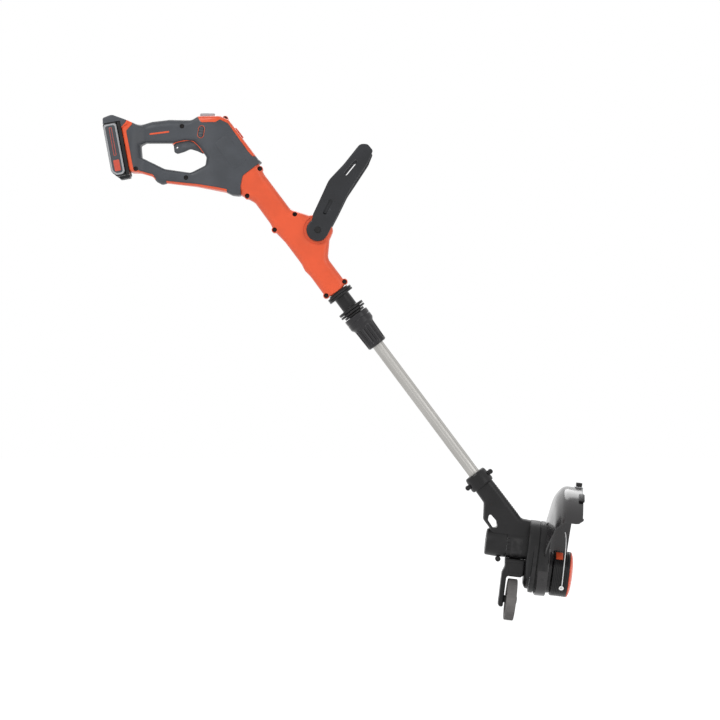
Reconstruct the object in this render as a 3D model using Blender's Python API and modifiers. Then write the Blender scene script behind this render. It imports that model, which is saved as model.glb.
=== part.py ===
"""Cordless string trimmer: rear handle, sliding battery, telescopic shaft, and a head that trims or edges.

All sizes are in millimetres and degrees, and the meshes are made in metres. The origin is on the flat
underside of the rear grip, inside the closed loop. X runs from the battery to the head, Z is up.
"""
import math

import bmesh
import bpy
from mathutils import Matrix, Vector

MM = 0.001
GAP = 0.3
SLIDE_GAP = 0.4
SEAM_Y = 1.2
WALL = 3.0

# Rear handle
GRIP_HALF = 17.5
FRONT_HALF = 27.0
DOCK_HALF = 31.0
HANDLE_EDGE = 6.5
WIDENS_TO_DOCK = (-55.0, -25.0)
WIDENS_TO_FRONT = (55.0, 105.0)
HOOD_HALF = 34.0
DOCK_ORIGIN = (-65.0, 0.0, 0.0)
DOCK_TILT = -10.5
DOCK_STRIP = 8.0
HANDLE_SCREWS = ((42.0, 31.0), (49.5, -65.0), (-43.5, -49.0))

# Trigger and buttons
TRIGGER_PIVOT = (76.0, 1.0)
TRIGGER_HALF = 8.5
PIN_RADIUS = 2.0
SPRING_WIRE = 0.5
SPRING_RADIUS = 3.6
SPRING_SPACE = 0.5
SPRING_TURNS = 3
LOCK_CENTRE = (77.0, 21.0)
LOCK_LENGTH = 24.0
LOCK_WIDTH = 13.0
LOCK_PROUD = 1.5
FEED_CENTRE = (89.0, 50.0)
FEED_LENGTH = 28.0
FEED_WIDTH = 14.0
FEED_PROUD = 6.0
FEED_DEPTH = 5.0
SPEED_START = -637.0
SPEED_LENGTH = 24.0
SPEED_TRAVEL = 12.0
SPEED_WIDTH = 16.0
SPEED_PROUD = 2.2
STEM_WIDTH = 8.0

# Battery
PACK_DEPTH = 33.0
PACK_TOP = 40.0
PACK_BOTTOM = -61.0
PACK_HALF = 37.0
PACK_WALL = 2.0
RAIL_DEPTH = 7.0
RAIL_HALF = 33.0
TEE_NECK = 16.0
TEE_HALF = 21.0
TEE_DEPTH = 5.0
TEE_LIP = 2.4
CELL_RADIUS = 9.0
CELL_LENGTH = 65.0
CELL_PITCH = 17.9
CELL_COUNT = 5
LATCH_HALF = 15.0

# Shaft housing, in the shaft frame: u along the tube, v across it
SHAFT_ORIGIN = (499.1, 0.0, -498.9)
SHAFT_TILT = 53.2
HOUSING_HALF = 23.0
HOUSING_EDGE = 10.5
HOUSING_START = -556.0
HOUSING_END = -278.0
HOUSING_WALL = 3.0
SPINE_EDGE_V = 28.6
HOUSING_SCREWS = (
    (-547.5, 20.0), (-521.0, -29.0), (-440.5, 21.5), (-440.0, -26.0),
    (HOUSING_END - 6.5, 20.5), (HOUSING_END - 6.0, -22.5),
)
LUG_RADIUS = 5.8
LUG_HALF = 14.0
SCREW_HEAD = 3.2
SCREW_SHANK = 1.3
HEAD_DEPTH = 3.0
COLUMN_RADIUS = 5.5
COLUMN_SHORT = 0.6

# Front handle
AUX_PIVOT = (-391.0, 38.0)
AUX_THICK = 8.0
AUX_SPREAD = 31.0
AUX_SPREADS = (25.0, 120.0)
AUX_BAR = 11.0
AUX_ROUND = 21.0
BOLT_RADIUS = 4.0
BOLT_HEAD = 5.8
BOLT_HEAD_THICK = 1.8

# Tube, sleeve and collar
TUBE_RADIUS = 11.0
TUBE_WALL = 1.2
TUBE_END = 182.0
SLEEVE_WALL = 1.6
SLEEVE_START = HOUSING_END - 42.0
TUBE_START = SLEEVE_START - 20.0
RING_RADIUS = 26.0
COLLAR_START = HOUSING_END + 55.0
COLLAR_END = COLLAR_START + 69.5
SLEEVE_END = COLLAR_END - 11.5
COLLAR_RADIUS = 24.5
COLLAR_GRIP = 20.0

# Head, in the head frame: a along the spindle, b across it, origin where spindle and tube axes cross
NECK_START = 148.0
HEAD_ALONG = 378.3
HEAD_TURN = -46.2
NECK_HALF = 18.0
MOTOR_OFFSET = 43.5
MOTOR_COVER_RADIUS = 25.5
MOTOR_COVER_WALL = 2.7
MOTOR_START = -123.2
MOTOR_SPLIT = -84.0
GEARBOX_START = -45.2
GEARBOX_END = -14.5
GEARBOX_LOW_RADIUS = 43.0
GEARBOX_TOP_RADIUS = 50.0
GEARBOX_WALL = 3.0
GEAR_SPACE_START = -38.5
NOSE_RADIUS = 38.3
NOSE_END = 4.6
GUARD_RING_RADIUS = NOSE_RADIUS + 7.5
GUARD_RING_START = -22.0
GUARD_RING_END = -2.2
MODULE = 1.5
GEAR_TEETH = 46
PINION_TEETH = 12
GEAR_START = -36.0
GEAR_WIDTH = 8.0
SPINDLE_RADIUS = 4.0
SHAFT_RADIUS = 2.5

# Guard
GUARD_RADIUS = 164.0
GUARD_PLATE = 2.5
GUARD_SKIRT_END = 43.0
GUARD_NEAR = 51.0
GUARD_FAR = -80.0
GUARD_FLAT = 84.0
# The dished plate beyond its flat middle: how far it has risen, and how far in from the skirt
GUARD_DISH = ((2.6, 58.0), (10.2, 19.0), (15.7, 7.0), (23.2, 0.0), (24.5, -1.0))
GUARD_STEPS = 60
GUARD_FOOT = ((-54.0, 32.0), (0.3 - NOSE_RADIUS, -8.0), (NOSE_RADIUS - 0.3, -8.0), (54.0, 20.0))
GUARD_SCREW_PLACE = (18.0, 70.0)
GUARD_SCREW_RADIUS = 1.6
BLADE_THICK = 1.5
BLADE_START = 30.0
BLADE_END = GUARD_SKIRT_END + 2.0
BLADE_HALF = 14.0
BLADE_LIP = 12.0

# Edge wheel
WHEEL_RADIUS = 40.0
WHEEL_DROP = -59.0
WHEEL_START = -73.0
WHEEL_WIDTH = 18.5
ARM_START = -86.2
ARM_THICK = 9.0
AXLE_RADIUS = 4.0

# Spool
SPOOL_START = 5.8
SPOOL_END = 36.5
SPOOL_RADIUS = 42.5
SPOOL_WALL = 2.5
REEL_SPACE = 3.2
REEL_RADIUS = SPOOL_RADIUS - SPOOL_WALL - REEL_SPACE
REEL_CORE = 13.0
CAP_DOME = 7.5
TAB_WIDTH = 13.0
TAB_LENGTH = 20.0
TAB_MIDDLE = 15.8
TAB_ANGLE = 55.0
EYELET_A = 25.3
EYELET_ANGLE = -34.0
EYELET_RADIUS = 5.0
EYELET_BODY = 3.4
EYELET_BORE = 1.5
LINE_DIAMETER = 1.65

# Outlines as corners: first coordinate, second coordinate, corner radius
HANDLE_OUTLINE = (
    (-55.4, -54.5, 7), (-72.5, 38.0, 7), (-64.0, 43.5, 8), (-38.0, 32.5, 26), (-14.0, 40.0, 30),
    (18.0, 43.7, 30), (60.0, 43.0, 15), (72.0, 50.0, 8), (113.0, 50.0, 8), (129.0, 43.0, 12),
    (184.5, -31.0, 7.5), (198.0, -42.0, 7.5), (190.0, -70.0, 10), (150.0, -99.0, 9), (136.0, -97.5, 9),
    (124.0, -91.5, 12), (70.0, -81.5, 20), (14.0, -75.0, 10), (5.0, -78.0, 8), (-6.0, -72.0, 10),
    (-13.0, -62.5, 10), (-34.0, -56.5, 10),
)
LOOP_OUTLINE = (
    (-35.0, -5.0, 4), (-25.0, 0.0, 6), (28.0, 0.0, 6), (46.0, 4.5, 10), (63.0, 3.0, 6), (75.0, -9.0, 8),
    (88.0, -27.0, 6), (86.0, -42.0, 6), (58.0, -55.5, 14), (10.0, -48.5, 16), (-33.0, -27.5, 4),
)
HOOD_OUTLINE = (
    (-104.8, 45.0, 4), (-88.0, 51.5, 12), (-60.0, 41.5, 10), (-56.0, 36.0, 3), (-70.0, 26.0, 3),
    (-73.5, 30.0, 0), (-104.4, 28.0, 0),
)
SPINE_REGION = (
    (66.0, 60.0, 0), (73.5, 44.0, 0), (78.0, 38.0, 4), (105.0, 38.0, 5), (113.0, 43.0, 4), (128.0, 36.0, 8),
    (166.0, -17.0, 6), (174.0, -25.5, 3), (192.0, -26.0, 0), (192.0, 60.0, 0),
)
LOWER_REGION = (
    (13.0, -71.0, 0), (14.5, -90.0, 0), (126.0, -110.0, 0), (126.0, -87.0, 0), (110.0, -84.0, 6),
    (70.0, -77.0, 6),
)
TRIGGER_OUTLINE = (
    (26.0, -4.0, 2), (27.5, -17.0, 3), (33.0, -19.5, 3), (45.0, -16.0, 8), (57.0, -10.5, 8),
    (70.0, -14.5, 8), (81.5, -20.0, 2.5), (83.0, -15.0, 3), (82.0, 1.0, 5), (76.0, 8.0, 5),
    (55.0, 8.5, 4), (30.0, 5.0, 3),
)
TRIGGER_SLOT = (
    (24.8, -12.0, 0), (24.8, 14.0, 0), (82.0, 14.0, 0), (85.0, -25.0, 0), (60.0, -25.0, 0),
)
HOUSING_OUTLINE = (
    (-580.0, 26.0, 4), (-556.0, 24.5, 8), (-535.0, 20.5, 20), (-452.0, 20.5, 20), (-423.0, 42.0, 12),
    (-413.0, 60.0, 14), (-375.0, 65.0, 16), (-364.0, 45.0, 12), (-338.0, 21.5, 20),
    (HOUSING_END + GAP, 21.5, 12), (HOUSING_END + GAP, -25.0, 12), (-330.0, -24.5, 15), (-345.0, -26.5, 12),
    (-360.0, -24.0, 12), (-410.0, -24.0, 12), (-440.0, -28.0, 12), (-455.0, -25.5, 12), (-503.0, -25.0, 15),
    (-530.0, -38.0, 12), (-580.0, -40.0, 12),
)
HOUSING_REGION = (
    (-556.0, 90.0, 0), (-556.0, -13.0, 8), (-543.0, -28.0, 10), (-526.0, -40.0, 0), (-520.0, -80.0, 0),
    (-100.0, -80.0, 0), (-100.0, 90.0, 0),
)
AUX_OUTLINE = (
    (-417.0, 43.0, 0), (-451.5, 109.0, 30), (-458.0, 148.0, 60), (-470.5, 196.0, 12), (-462.0, 206.5, 9),
    (-446.0, 207.5, 10), (-434.5, 188.5, 20), (-409.5, 120.0, 60), (-391.5, 86.0, 40), (-372.6, 47.0, 0),
)
AUX_SLOT = (-445.5, 155.5, 35.0, 7.0, 104.0)
AUX_BAR_PLACE = (-451.0, 188.0)
AUX_CUTS = (13.0, 30.0, 60.0, 90.0, 120.0, 160.0)
PACK_OUTLINE = ((-33.0, 40.0, 4), (-7.3, 40.0, 0), (-7.3, -61.0, 0), (-24.0, -61.0, 6), (-33.0, -50.0, 9))
NECK_OUTLINE = (
    (159.0, -17.5, 8), (202.0, -18.5, 8), (226.0, -38.0, 9), (246.0, -38.0, 6), (262.0, -54.0, 8),
    (300.0, -54.0, 10), (330.0, -10.0, 10), (321.0, 26.0, 10), (288.0, 38.5, 9), (268.0, 20.5, 10),
    (159.0, 19.5, 8),
)
EYE_OUTLINE = ((222.0, -22.0, 3), (250.0, -22.0, 3), (250.0, -31.0, 4), (232.0, -31.0, 4))
COVER_LUG = ((-101.5, 24.0, 0), (-101.5, 9.0, 4.8), (-91.5, 9.0, 4.8), (-91.5, 24.0, 0))
FORK_OUTLINE = (
    (-83.5, 17.6, 2), (-45.7, 17.6, 0), (-45.7, -11.0, 3), (-51.0, -15.5, 3), (-75.0, -15.5, 3),
    (-77.2, -19.0, 2), (-77.2, -74.5, 4), (-86.2, -73.0, 5), (-86.2, -10.0, 4), (-82.0, 2.0, 4),
)

ROUND_STEPS = 20
WIDE_STEPS = 28
STADIUM_STEPS = 5
ARC_STEP = math.radians(40)

LINE_ROUTE = (
    (25.3, -36.6, -24.8), (25.3, -40.0, -25.6), (25.2, -42.7, -24.2), (25.2, -44.0, -21.5),
    (25.2, -44.8, -17.0), (25.1, -45.3, -9.0), (25.0, -45.8, 0.0), (24.8, -46.3, 10.0),
    (24.6, -46.8, 20.0), (24.4, -47.2, 30.0), (24.1, -47.7, 40.0), (23.6, -48.1, 50.0),
    (22.9, -48.5, 60.0), (21.8, -48.9, 69.0), (20.2, -49.2, 76.0), (18.3, -49.4, 81.0),
)

PARTS = bpy.data.collections.new("string_trimmer")
CUTTERS = bpy.data.collections.new("cutters")


def clear_scene():
    for old in list(bpy.data.objects):
        bpy.data.objects.remove(old, do_unlink=True)
    bpy.context.scene.collection.children.link(PARTS)
    bpy.context.scene.collection.children.link(CUTTERS)


def finish(name, colour, roughness, metallic=0.0):
    material = bpy.data.materials.new(name)
    material.use_nodes = True
    shader = material.node_tree.nodes["Principled BSDF"]
    shader.inputs["Base Color"].default_value = (*colour, 1.0)
    shader.inputs["Roughness"].default_value = roughness
    shader.inputs["Metallic"].default_value = metallic
    return material


FINISHES = {
    "grey": ((0.10, 0.10, 0.11), 0.55, 0.0),
    "black": ((0.03, 0.03, 0.033), 0.5, 0.0),
    "orange": ((0.80, 0.10, 0.03), 0.4, 0.0),
    "metal": ((0.60, 0.58, 0.55), 0.3, 1.0),
    "steel": ((0.45, 0.45, 0.46), 0.35, 1.0),
    "wheel": ((0.15, 0.14, 0.135), 0.75, 0.0),
    "white": ((0.80, 0.80, 0.78), 0.4, 0.0),
}


def frame(name, location, tilt, parent=None):
    """An empty turned about Y, which carries what is drawn in its own two directions."""
    holder = bpy.data.objects.new(name, None)
    PARTS.objects.link(holder)
    holder.location = Vector(location) * MM
    holder.rotation_euler = (0.0, math.radians(tilt), 0.0)
    holder.parent = parent
    return holder


def frame_matrix(location, tilt):
    return Matrix.Translation(Vector(location) * MM) @ Matrix.Rotation(math.radians(tilt), 4, "Y")


def turned_into(mesh, matrix):
    """A copy of the mesh, moved by the matrix."""
    copy = mesh.copy()
    copy.transform(matrix)
    return copy


def rounded(corners):
    """The outline through the corners, with an arc of each corner's radius."""
    outline = []
    count = len(corners)
    for i, (x, y, radius) in enumerate(corners):
        here = Vector((x, y))
        before = Vector(corners[i - 1][:2]) - here
        after = Vector(corners[(i + 1) % count][:2]) - here
        turn = math.pi - before.angle(after)
        if radius <= 0 or turn < 0.03:
            outline.append(here)
            continue
        reach = min(radius * math.tan(turn / 2), 0.49 * before.length, 0.49 * after.length)
        radius = reach / math.tan(turn / 2)
        start = here + before.normalized() * reach
        end = here + after.normalized() * reach
        centre = here + (before.normalized() + after.normalized()).normalized() * radius / math.cos(turn / 2)
        side = math.copysign(1.0, (start - centre).cross(end - centre))
        steps = max(1, math.ceil(turn / ARC_STEP))
        for k in range(steps + 1):
            outline.append(centre + Matrix.Rotation(side * turn * k / steps, 2) @ (start - centre))
    return outline


def stadium(x, y, length, width, turn=0.0):
    """A slot outline with round ends, its long way turned from the first axis by turn."""
    half = (length - width) / 2
    along = Vector((math.cos(math.radians(turn)), math.sin(math.radians(turn))))
    outline = []
    for side in (1, -1):
        for k in range(STADIUM_STEPS + 1):
            angle = math.radians(turn + 90 * (1 - side) - 90 + 180 * k / STADIUM_STEPS)
            tip = Vector((math.cos(angle), math.sin(angle))) * width / 2
            outline.append(Vector((x, y)) + along * half * side + tip)
    return outline


def evaluated_mesh(item):
    """The item's mesh with its modifiers, and the item removed."""
    graph = bpy.context.evaluated_depsgraph_get()
    mesh = bpy.data.meshes.new_from_object(item.evaluated_get(graph))
    bpy.data.objects.remove(item, do_unlink=True)
    return mesh


def welded(mesh, flat=0.0):
    """The mesh with its double points joined, and with faces that lie flat to the given angle made one."""
    shell = bmesh.new()
    shell.from_mesh(mesh)
    bmesh.ops.remove_doubles(shell, verts=shell.verts, dist=1e-6)
    bmesh.ops.recalc_face_normals(shell, faces=shell.faces)
    if flat > 0:
        bmesh.ops.dissolve_limit(shell, angle_limit=math.radians(flat), verts=shell.verts, edges=shell.edges)
    shell.to_mesh(mesh)
    shell.free()
    return mesh


def plate(outlines, half, edge=0.0, inset=0.0, facing="Y", edge_steps=2):
    """A flat outline with holes, of twice the half thickness, its rims rounded by the edge radius."""
    curve = bpy.data.curves.new("outline", "CURVE")
    curve.dimensions = "2D"
    curve.fill_mode = "BOTH"
    curve.extrude = (half - edge) * MM
    curve.bevel_depth = edge * MM
    curve.bevel_resolution = edge_steps - 1
    curve.offset = -(edge + inset) * MM
    for outline in outlines:
        spline = curve.splines.new("POLY")
        spline.points.add(len(outline) - 1)
        for point, corner in zip(spline.points, outline):
            point.co = (corner.x * MM, corner.y * MM, 0.0, 1.0)
        spline.use_cyclic_u = True
    item = bpy.data.objects.new("outline", curve)
    bpy.context.scene.collection.objects.link(item)
    mesh = welded(evaluated_mesh(item), 0.1)
    mesh.transform(Matrix.Rotation(math.pi / 2, 4, "X"))
    if facing == "X":
        mesh.transform(Matrix.Rotation(math.pi / 2, 4, "Z"))
    return mesh


def moved(mesh, x=0.0, y=0.0, z=0.0):
    mesh.transform(Matrix.Translation(Vector((x, y, z)) * MM))
    return mesh


def slabs(mesh, places, half_at, half):
    """The mesh cut across at the places along X, with its half thickness changed to half_at of X."""
    shell = bmesh.new()
    shell.from_mesh(mesh)
    for place in places:
        everything = shell.verts[:] + shell.edges[:] + shell.faces[:]
        bmesh.ops.bisect_plane(shell, geom=everything, plane_co=(place * MM, 0, 0), plane_no=(1, 0, 0))
    for vertex in shell.verts:
        vertex.co.y *= half_at(vertex.co.x / MM) / half
    shell.to_mesh(mesh)
    shell.free()
    return mesh


def box(x, y, z):
    """A block between the two values given for each direction."""
    shell = bmesh.new()
    bmesh.ops.create_cube(shell, size=1.0)
    size = Vector((x[1] - x[0], y[1] - y[0], z[1] - z[0])) * MM
    centre = Vector((x[1] + x[0], y[1] + y[0], z[1] + z[0])) * MM / 2
    bmesh.ops.scale(shell, vec=size, verts=shell.verts)
    bmesh.ops.translate(shell, vec=centre, verts=shell.verts)
    mesh = bpy.data.meshes.new("block")
    shell.to_mesh(mesh)
    shell.free()
    return mesh


def rod(radius, start, end, axis="Y", at=(0.0, 0.0), sides=16, twist=0.0):
    """A cylinder between start and end along the axis, centred on the other two coordinates."""
    shell = bmesh.new()
    bmesh.ops.create_cone(shell, cap_ends=True, segments=sides, radius1=radius * MM, radius2=radius * MM,
                          depth=(end - start) * MM)
    mesh = bpy.data.meshes.new("rod")
    shell.to_mesh(mesh)
    shell.free()
    mesh.transform(Matrix.Rotation(math.radians(twist), 4, "Z"))
    middle = (start + end) / 2
    if axis == "Y":
        mesh.transform(Matrix.Rotation(math.pi / 2, 4, "X"))
        return moved(mesh, at[0], middle, at[1])
    mesh.transform(Matrix.Rotation(math.pi / 2, 4, "Y"))
    return moved(mesh, middle, at[0], at[1])


def lathe(profile, at=0.0, steps=ROUND_STEPS):
    """The profile of (along, radius) turned about X, at the height given."""
    area = 0.0
    for i, (along, radius) in enumerate(profile):
        area += profile[i - 1][1] * along - radius * profile[i - 1][0]
    ordered = list(profile) if area < 0 else list(reversed(profile))
    mesh = bpy.data.meshes.new("profile")
    edges = [(i, (i + 1) % len(ordered)) for i in range(len(ordered))]
    edges = [pair for pair in edges if ordered[pair[0]][1] > 0 or ordered[pair[1]][1] > 0]
    mesh.from_pydata([(radius * MM, 0.0, along * MM) for along, radius in ordered], edges, [])
    item = bpy.data.objects.new("profile", mesh)
    bpy.context.scene.collection.objects.link(item)
    screw = item.modifiers.new("screw", "SCREW")
    screw.steps = steps
    screw.render_steps = steps
    screw.use_merge_vertices = True
    screw.merge_threshold = 1e-5
    mesh = welded(evaluated_mesh(item))
    mesh.transform(Matrix.Rotation(math.pi / 2, 4, "Y"))
    return moved(mesh, 0.0, 0.0, at)


def tube(points, radius, sides=3, close=False):
    """A round wire along the points, with filled caps."""
    curve = bpy.data.curves.new("wire", "CURVE")
    curve.dimensions = "3D"
    curve.bevel_depth = radius * MM
    curve.bevel_resolution = sides
    curve.use_fill_caps = not close
    spline = curve.splines.new("POLY")
    spline.points.add(len(points) - 1)
    for point, place in zip(spline.points, points):
        point.co = (place[0] * MM, place[1] * MM, place[2] * MM, 1.0)
    spline.use_cyclic_u = close
    item = bpy.data.objects.new("wire", curve)
    bpy.context.scene.collection.objects.link(item)
    return welded(evaluated_mesh(item))


def joined(first, second, operation="UNION"):
    """Two meshes of one frame, made one by a Boolean."""
    body = bpy.data.objects.new("body", first)
    tool = bpy.data.objects.new("tool", second)
    for item in (body, tool):
        bpy.context.scene.collection.objects.link(item)
    boolean = body.modifiers.new("join", "BOOLEAN")
    boolean.operation = operation
    boolean.solver = "EXACT"
    boolean.object = tool
    mesh = evaluated_mesh(body)
    bpy.data.objects.remove(tool, do_unlink=True)
    return mesh


def gathered(meshes):
    """Several separate meshes as one, for a cutter."""
    shell = bmesh.new()
    for mesh in meshes:
        shell.from_mesh(mesh)
    whole = bpy.data.meshes.new("group")
    shell.to_mesh(whole)
    shell.free()
    return whole


def part(name, mesh, colour, parent=None, pivot=(0.0, 0.0, 0.0)):
    """A named piece in its frame, with its origin at the pivot."""
    item = bpy.data.objects.new(name, mesh.copy())
    item.data.name = name
    item.data.transform(Matrix.Translation(-Vector(pivot) * MM))
    item.data.materials.clear()
    item.data.materials.append(finish(name, *FINISHES[colour]))
    item.data.shade_smooth()
    item.data.set_sharp_from_angle(angle=math.radians(35))
    PARTS.objects.link(item)
    item.parent = parent
    item.location = Vector(pivot) * MM
    return item


def cut(item, tool, label="cut", operation="DIFFERENCE", solver="EXACT"):
    """Cut the piece with a mesh drawn in the piece's frame."""
    cutter = bpy.data.objects.new(f"cut_{label}_{item.name}", tool.copy())
    CUTTERS.objects.link(cutter)
    cutter.parent = item.parent
    cutter.hide_render = True
    cutter.display_type = "WIRE"
    boolean = item.modifiers.new(label, "BOOLEAN")
    boolean.operation = operation
    boolean.solver = solver
    boolean.object = cutter


def blend(x, start, end, low, high):
    """A value that goes smoothly from low before start to high after end."""
    share = min(1.0, max(0.0, (x - start) / (end - start)))
    return low + (high - low) * share * share * (3 - 2 * share)


def handle_half(x):
    towards_front = blend(x, *WIDENS_TO_FRONT, 0.0, FRONT_HALF - GRIP_HALF)
    return blend(x, *WIDENS_TO_DOCK, DOCK_HALF, GRIP_HALF) + towards_front


def housing_half(u):
    return blend(u, HOUSING_START, HOUSING_CUTS[-1], HOUSING_HALF + 2.5, HOUSING_HALF)


HANDLE_CUTS = (-55, -45, -35, -25, 55, 72, 88, 105)
HOUSING_CUTS = (-556, -518, -480)
IN_SHAFT = frame_matrix(SHAFT_ORIGIN, SHAFT_TILT)
IN_DOCK = frame_matrix(DOCK_ORIGIN, DOCK_TILT)
HEAD_FROM_SHAFT = frame_matrix((HEAD_ALONG, 0.0, 0.0), HEAD_TURN)
SHAFT_FROM_HEAD = HEAD_FROM_SHAFT.inverted()


def handle_body(inset):
    """The handle's outer body, or its hollow where the inset is a wall."""
    outlines = [rounded(HANDLE_OUTLINE), rounded(LOOP_OUTLINE)]
    body = plate(outlines, DOCK_HALF, HANDLE_EDGE - 1.3 * inset, inset, "Y", 1 if inset else 2)
    slabs(body, HANDLE_CUTS, lambda x: handle_half(x) - inset, DOCK_HALF)
    return body


def region(corners, grow=0.0):
    """A prism through the whole width over an outline, grown or shrunk all round."""
    return plate([rounded(corners)], 60.0, 0.0, -grow)


def screw_holes(places, half_at):
    """For each screw, the sunk hole in the near half and the pilot into the far one."""
    tools = []
    for x, z in places:
        floor = -half_at(x) + HEAD_DEPTH + 1.0
        tools.append(joined(rod(SCREW_HEAD + GAP, -60, floor, "Y", (x, z), 12),
                            rod(SCREW_SHANK + GAP, floor - 1, 10, "Y", (x, z), 6)))
    return gathered(tools)


def screw(name, place, half, parent=None):
    """A shell screw: a slotted head and its shank."""
    x, z = place
    floor = -half + HEAD_DEPTH + 1.0 - GAP
    head = rod(SCREW_HEAD, floor - HEAD_DEPTH, floor, "Y", (x, z), 12)
    body = joined(head, rod(SCREW_SHANK, floor - 0.5, 9.5, "Y", (x, z), 6))
    item = part(name, body, "steel", parent)
    slot = box((x - 2.2, x + 2.2), (floor - HEAD_DEPTH - 1, floor - HEAD_DEPTH + 1.2), (z - 0.45, z + 0.45))
    cut(item, slot, "slot")


def make_handle():
    outer = handle_body(0.0)
    hood = plate([rounded(HOOD_OUTLINE)], HOOD_HALF, 2.5)
    outer = joined(outer, hood)

    beyond = region(HOUSING_REGION, GAP / 2)
    beyond.transform(IN_SHAFT)
    dock_space = joined(joined(battery_space(), dock_strip(GAP)), terminal_space(GAP))
    tools = [
        (beyond, "housing"),
        (region(SPINE_REGION, GAP), "spine"),
        (region(LOWER_REGION, GAP), "trim"),
        (turned_into(dock_space, IN_DOCK), "dock"),
        (trigger_space(), "trigger"),
        (plate([lock_outline(SLIDE_GAP)], 60.0), "lock_off"),
        (rod(PIN_RADIUS + GAP, -14.5, 14.5, "Y", TRIGGER_PIVOT), "pin"),
        (rod(SPRING_RADIUS + SPRING_WIRE + SLIDE_GAP, TRIGGER_HALF, 15.2, "Y", TRIGGER_PIVOT, 12), "spring"),
        (screw_holes(HANDLE_SCREWS, handle_half), "screws"),
    ]
    for side, far in (("near", False), ("far", True)):
        item = part(f"handle_shell_{side}", outer, "grey")
        other = (-70, SEAM_Y + GAP / 2) if far else (SEAM_Y - GAP / 2, 70)
        cut(item, box((-150, 300), other, (-200, 100)), "other_half")
        cut(item, handle_body(WALL), "hollow")
        for index, place in enumerate(HANDLE_SCREWS):
            reach = handle_half(place[0]) - 1
            ends = (SEAM_Y + COLUMN_SHORT, reach) if far else (-reach, SEAM_Y - COLUMN_SHORT)
            cut(item, rod(COLUMN_RADIUS, *ends, "Y", place, 12, 12.0), f"column_{index}", "UNION")
        for tool, label in tools:
            cut(item, tool, label, "DIFFERENCE", "MANIFOLD")

    item = part("spine_cover", outer, "orange")
    cut(item, region(SPINE_REGION), "region", "INTERSECT", "MANIFOLD")
    cut(item, handle_body(WALL), "hollow", "DIFFERENCE", "MANIFOLD")
    cut(item, beyond, "housing", "DIFFERENCE", "MANIFOLD")
    cut(item, feed_space(), "feed_button", "DIFFERENCE", "MANIFOLD")
    cut(item, turned_into(speed_slot(), IN_SHAFT), "speed_slot", "DIFFERENCE", "MANIFOLD")

    item = part("lower_trim", outer, "orange")
    cut(item, region(LOWER_REGION), "region", "INTERSECT")

    for index, place in enumerate(HANDLE_SCREWS):
        screw(f"handle_screw_{index + 1}", place, handle_half(place[0]))


def trigger_space():
    return plate([rounded(TRIGGER_SLOT)], TRIGGER_HALF + 0.5)


def lock_outline(grow=0.0):
    return stadium(LOCK_CENTRE[0], LOCK_CENTRE[1], LOCK_LENGTH + 2 * grow, LOCK_WIDTH + 2 * grow, 80.0)


def feed_space():
    outline = stadium(FEED_CENTRE[0], 0.0, FEED_LENGTH + 2 * GAP, FEED_WIDTH + 2 * GAP)
    space = plate([outline], 20.0)
    space.transform(Matrix.Rotation(-math.pi / 2, 4, "X"))
    return moved(space, 0, 0, FEED_CENTRE[1])


def speed_slot():
    half = STEM_WIDTH / 2 + GAP
    end = SPEED_START + SPEED_LENGTH + SPEED_TRAVEL
    return box((SPEED_START, end), (-half, half), (SPINE_EDGE_V - 12, SPINE_EDGE_V + 12))


def dock_strip(grow=0.0):
    """The orange dock frame's space: the strip along the dock face."""
    return box((-1, DOCK_STRIP + grow), (-60, 60), (-60, 26 + grow))


def terminal_space(grow=0.0):
    return box((0.5 - grow, 16 + grow), (-14 - grow, 14 + grow), (-12 - grow, 12 + grow))


def battery_space():
    return box((-PACK_DEPTH - 20, 0.0), (-60, 60), (PACK_BOTTOM - 20, PACK_TOP + 0.6))


def make_controls():
    pivot = (TRIGGER_PIVOT[0], 0.0, TRIGGER_PIVOT[1])
    lever = plate([rounded(TRIGGER_OUTLINE)], TRIGGER_HALF, 1.5, 0.0, "Y", 1)
    item = part("trigger", lever, "black", None, pivot)
    cut(item, rod(PIN_RADIUS + GAP, -20, 20, "Y", TRIGGER_PIVOT), "pin")
    cut(item, rod(2.0, -20, 20, "Y", (32.5, -8.0), 12), "eye")
    part("trigger_pin", rod(PIN_RADIUS, -14.2, 14.2, "Y", TRIGGER_PIVOT), "steel")
    make_trigger_spring()

    inner = GRIP_HALF - WALL - GAP
    module = joined(box((49, 66), (-inner, inner), (17, 31)), box((53, 59), (-4, 4), (14.5, 18)))
    part("switch_module", module, "black")
    inner = FRONT_HALF - WALL - GAP
    part("control_board", box((106, 134), (-inner, inner), (-72, -42)), "black")

    button = plate([lock_outline()], handle_half(LOCK_CENTRE[0]) + LOCK_PROUD, 1.0)
    part("lock_off_button", button, "black", None, (LOCK_CENTRE[0], 0.0, LOCK_CENTRE[1]))

    outline = stadium(FEED_CENTRE[0], 0.0, FEED_LENGTH, FEED_WIDTH)
    feed = plate([outline], (FEED_PROUD + FEED_DEPTH) / 2, 1.5)
    feed.transform(Matrix.Rotation(-math.pi / 2, 4, "X"))
    moved(feed, 0, 0, FEED_CENTRE[1] + (FEED_PROUD - FEED_DEPTH) / 2)
    part("feed_button", feed, "grey", None, (FEED_CENTRE[0], 0.0, FEED_CENTRE[1]))


def make_trigger_spring():
    """A torsion spring round the pin, beside the trigger."""
    count = SPRING_TURNS * 8
    pitch = 2 * SPRING_WIRE + SPRING_SPACE
    start = TRIGGER_HALF + 1.0
    points = []
    for k in range(count + 1):
        turn = 2 * math.pi * k / 8
        points.append((TRIGGER_PIVOT[0] + SPRING_RADIUS * math.cos(turn), start + pitch * k / 8,
                       TRIGGER_PIVOT[1] + SPRING_RADIUS * math.sin(turn)))
    print("least gap between the spring's turns, mm:", round(pitch - 2 * SPRING_WIRE, 2))
    part("trigger_spring", tube(points, SPRING_WIRE, 1), "steel")


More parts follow.
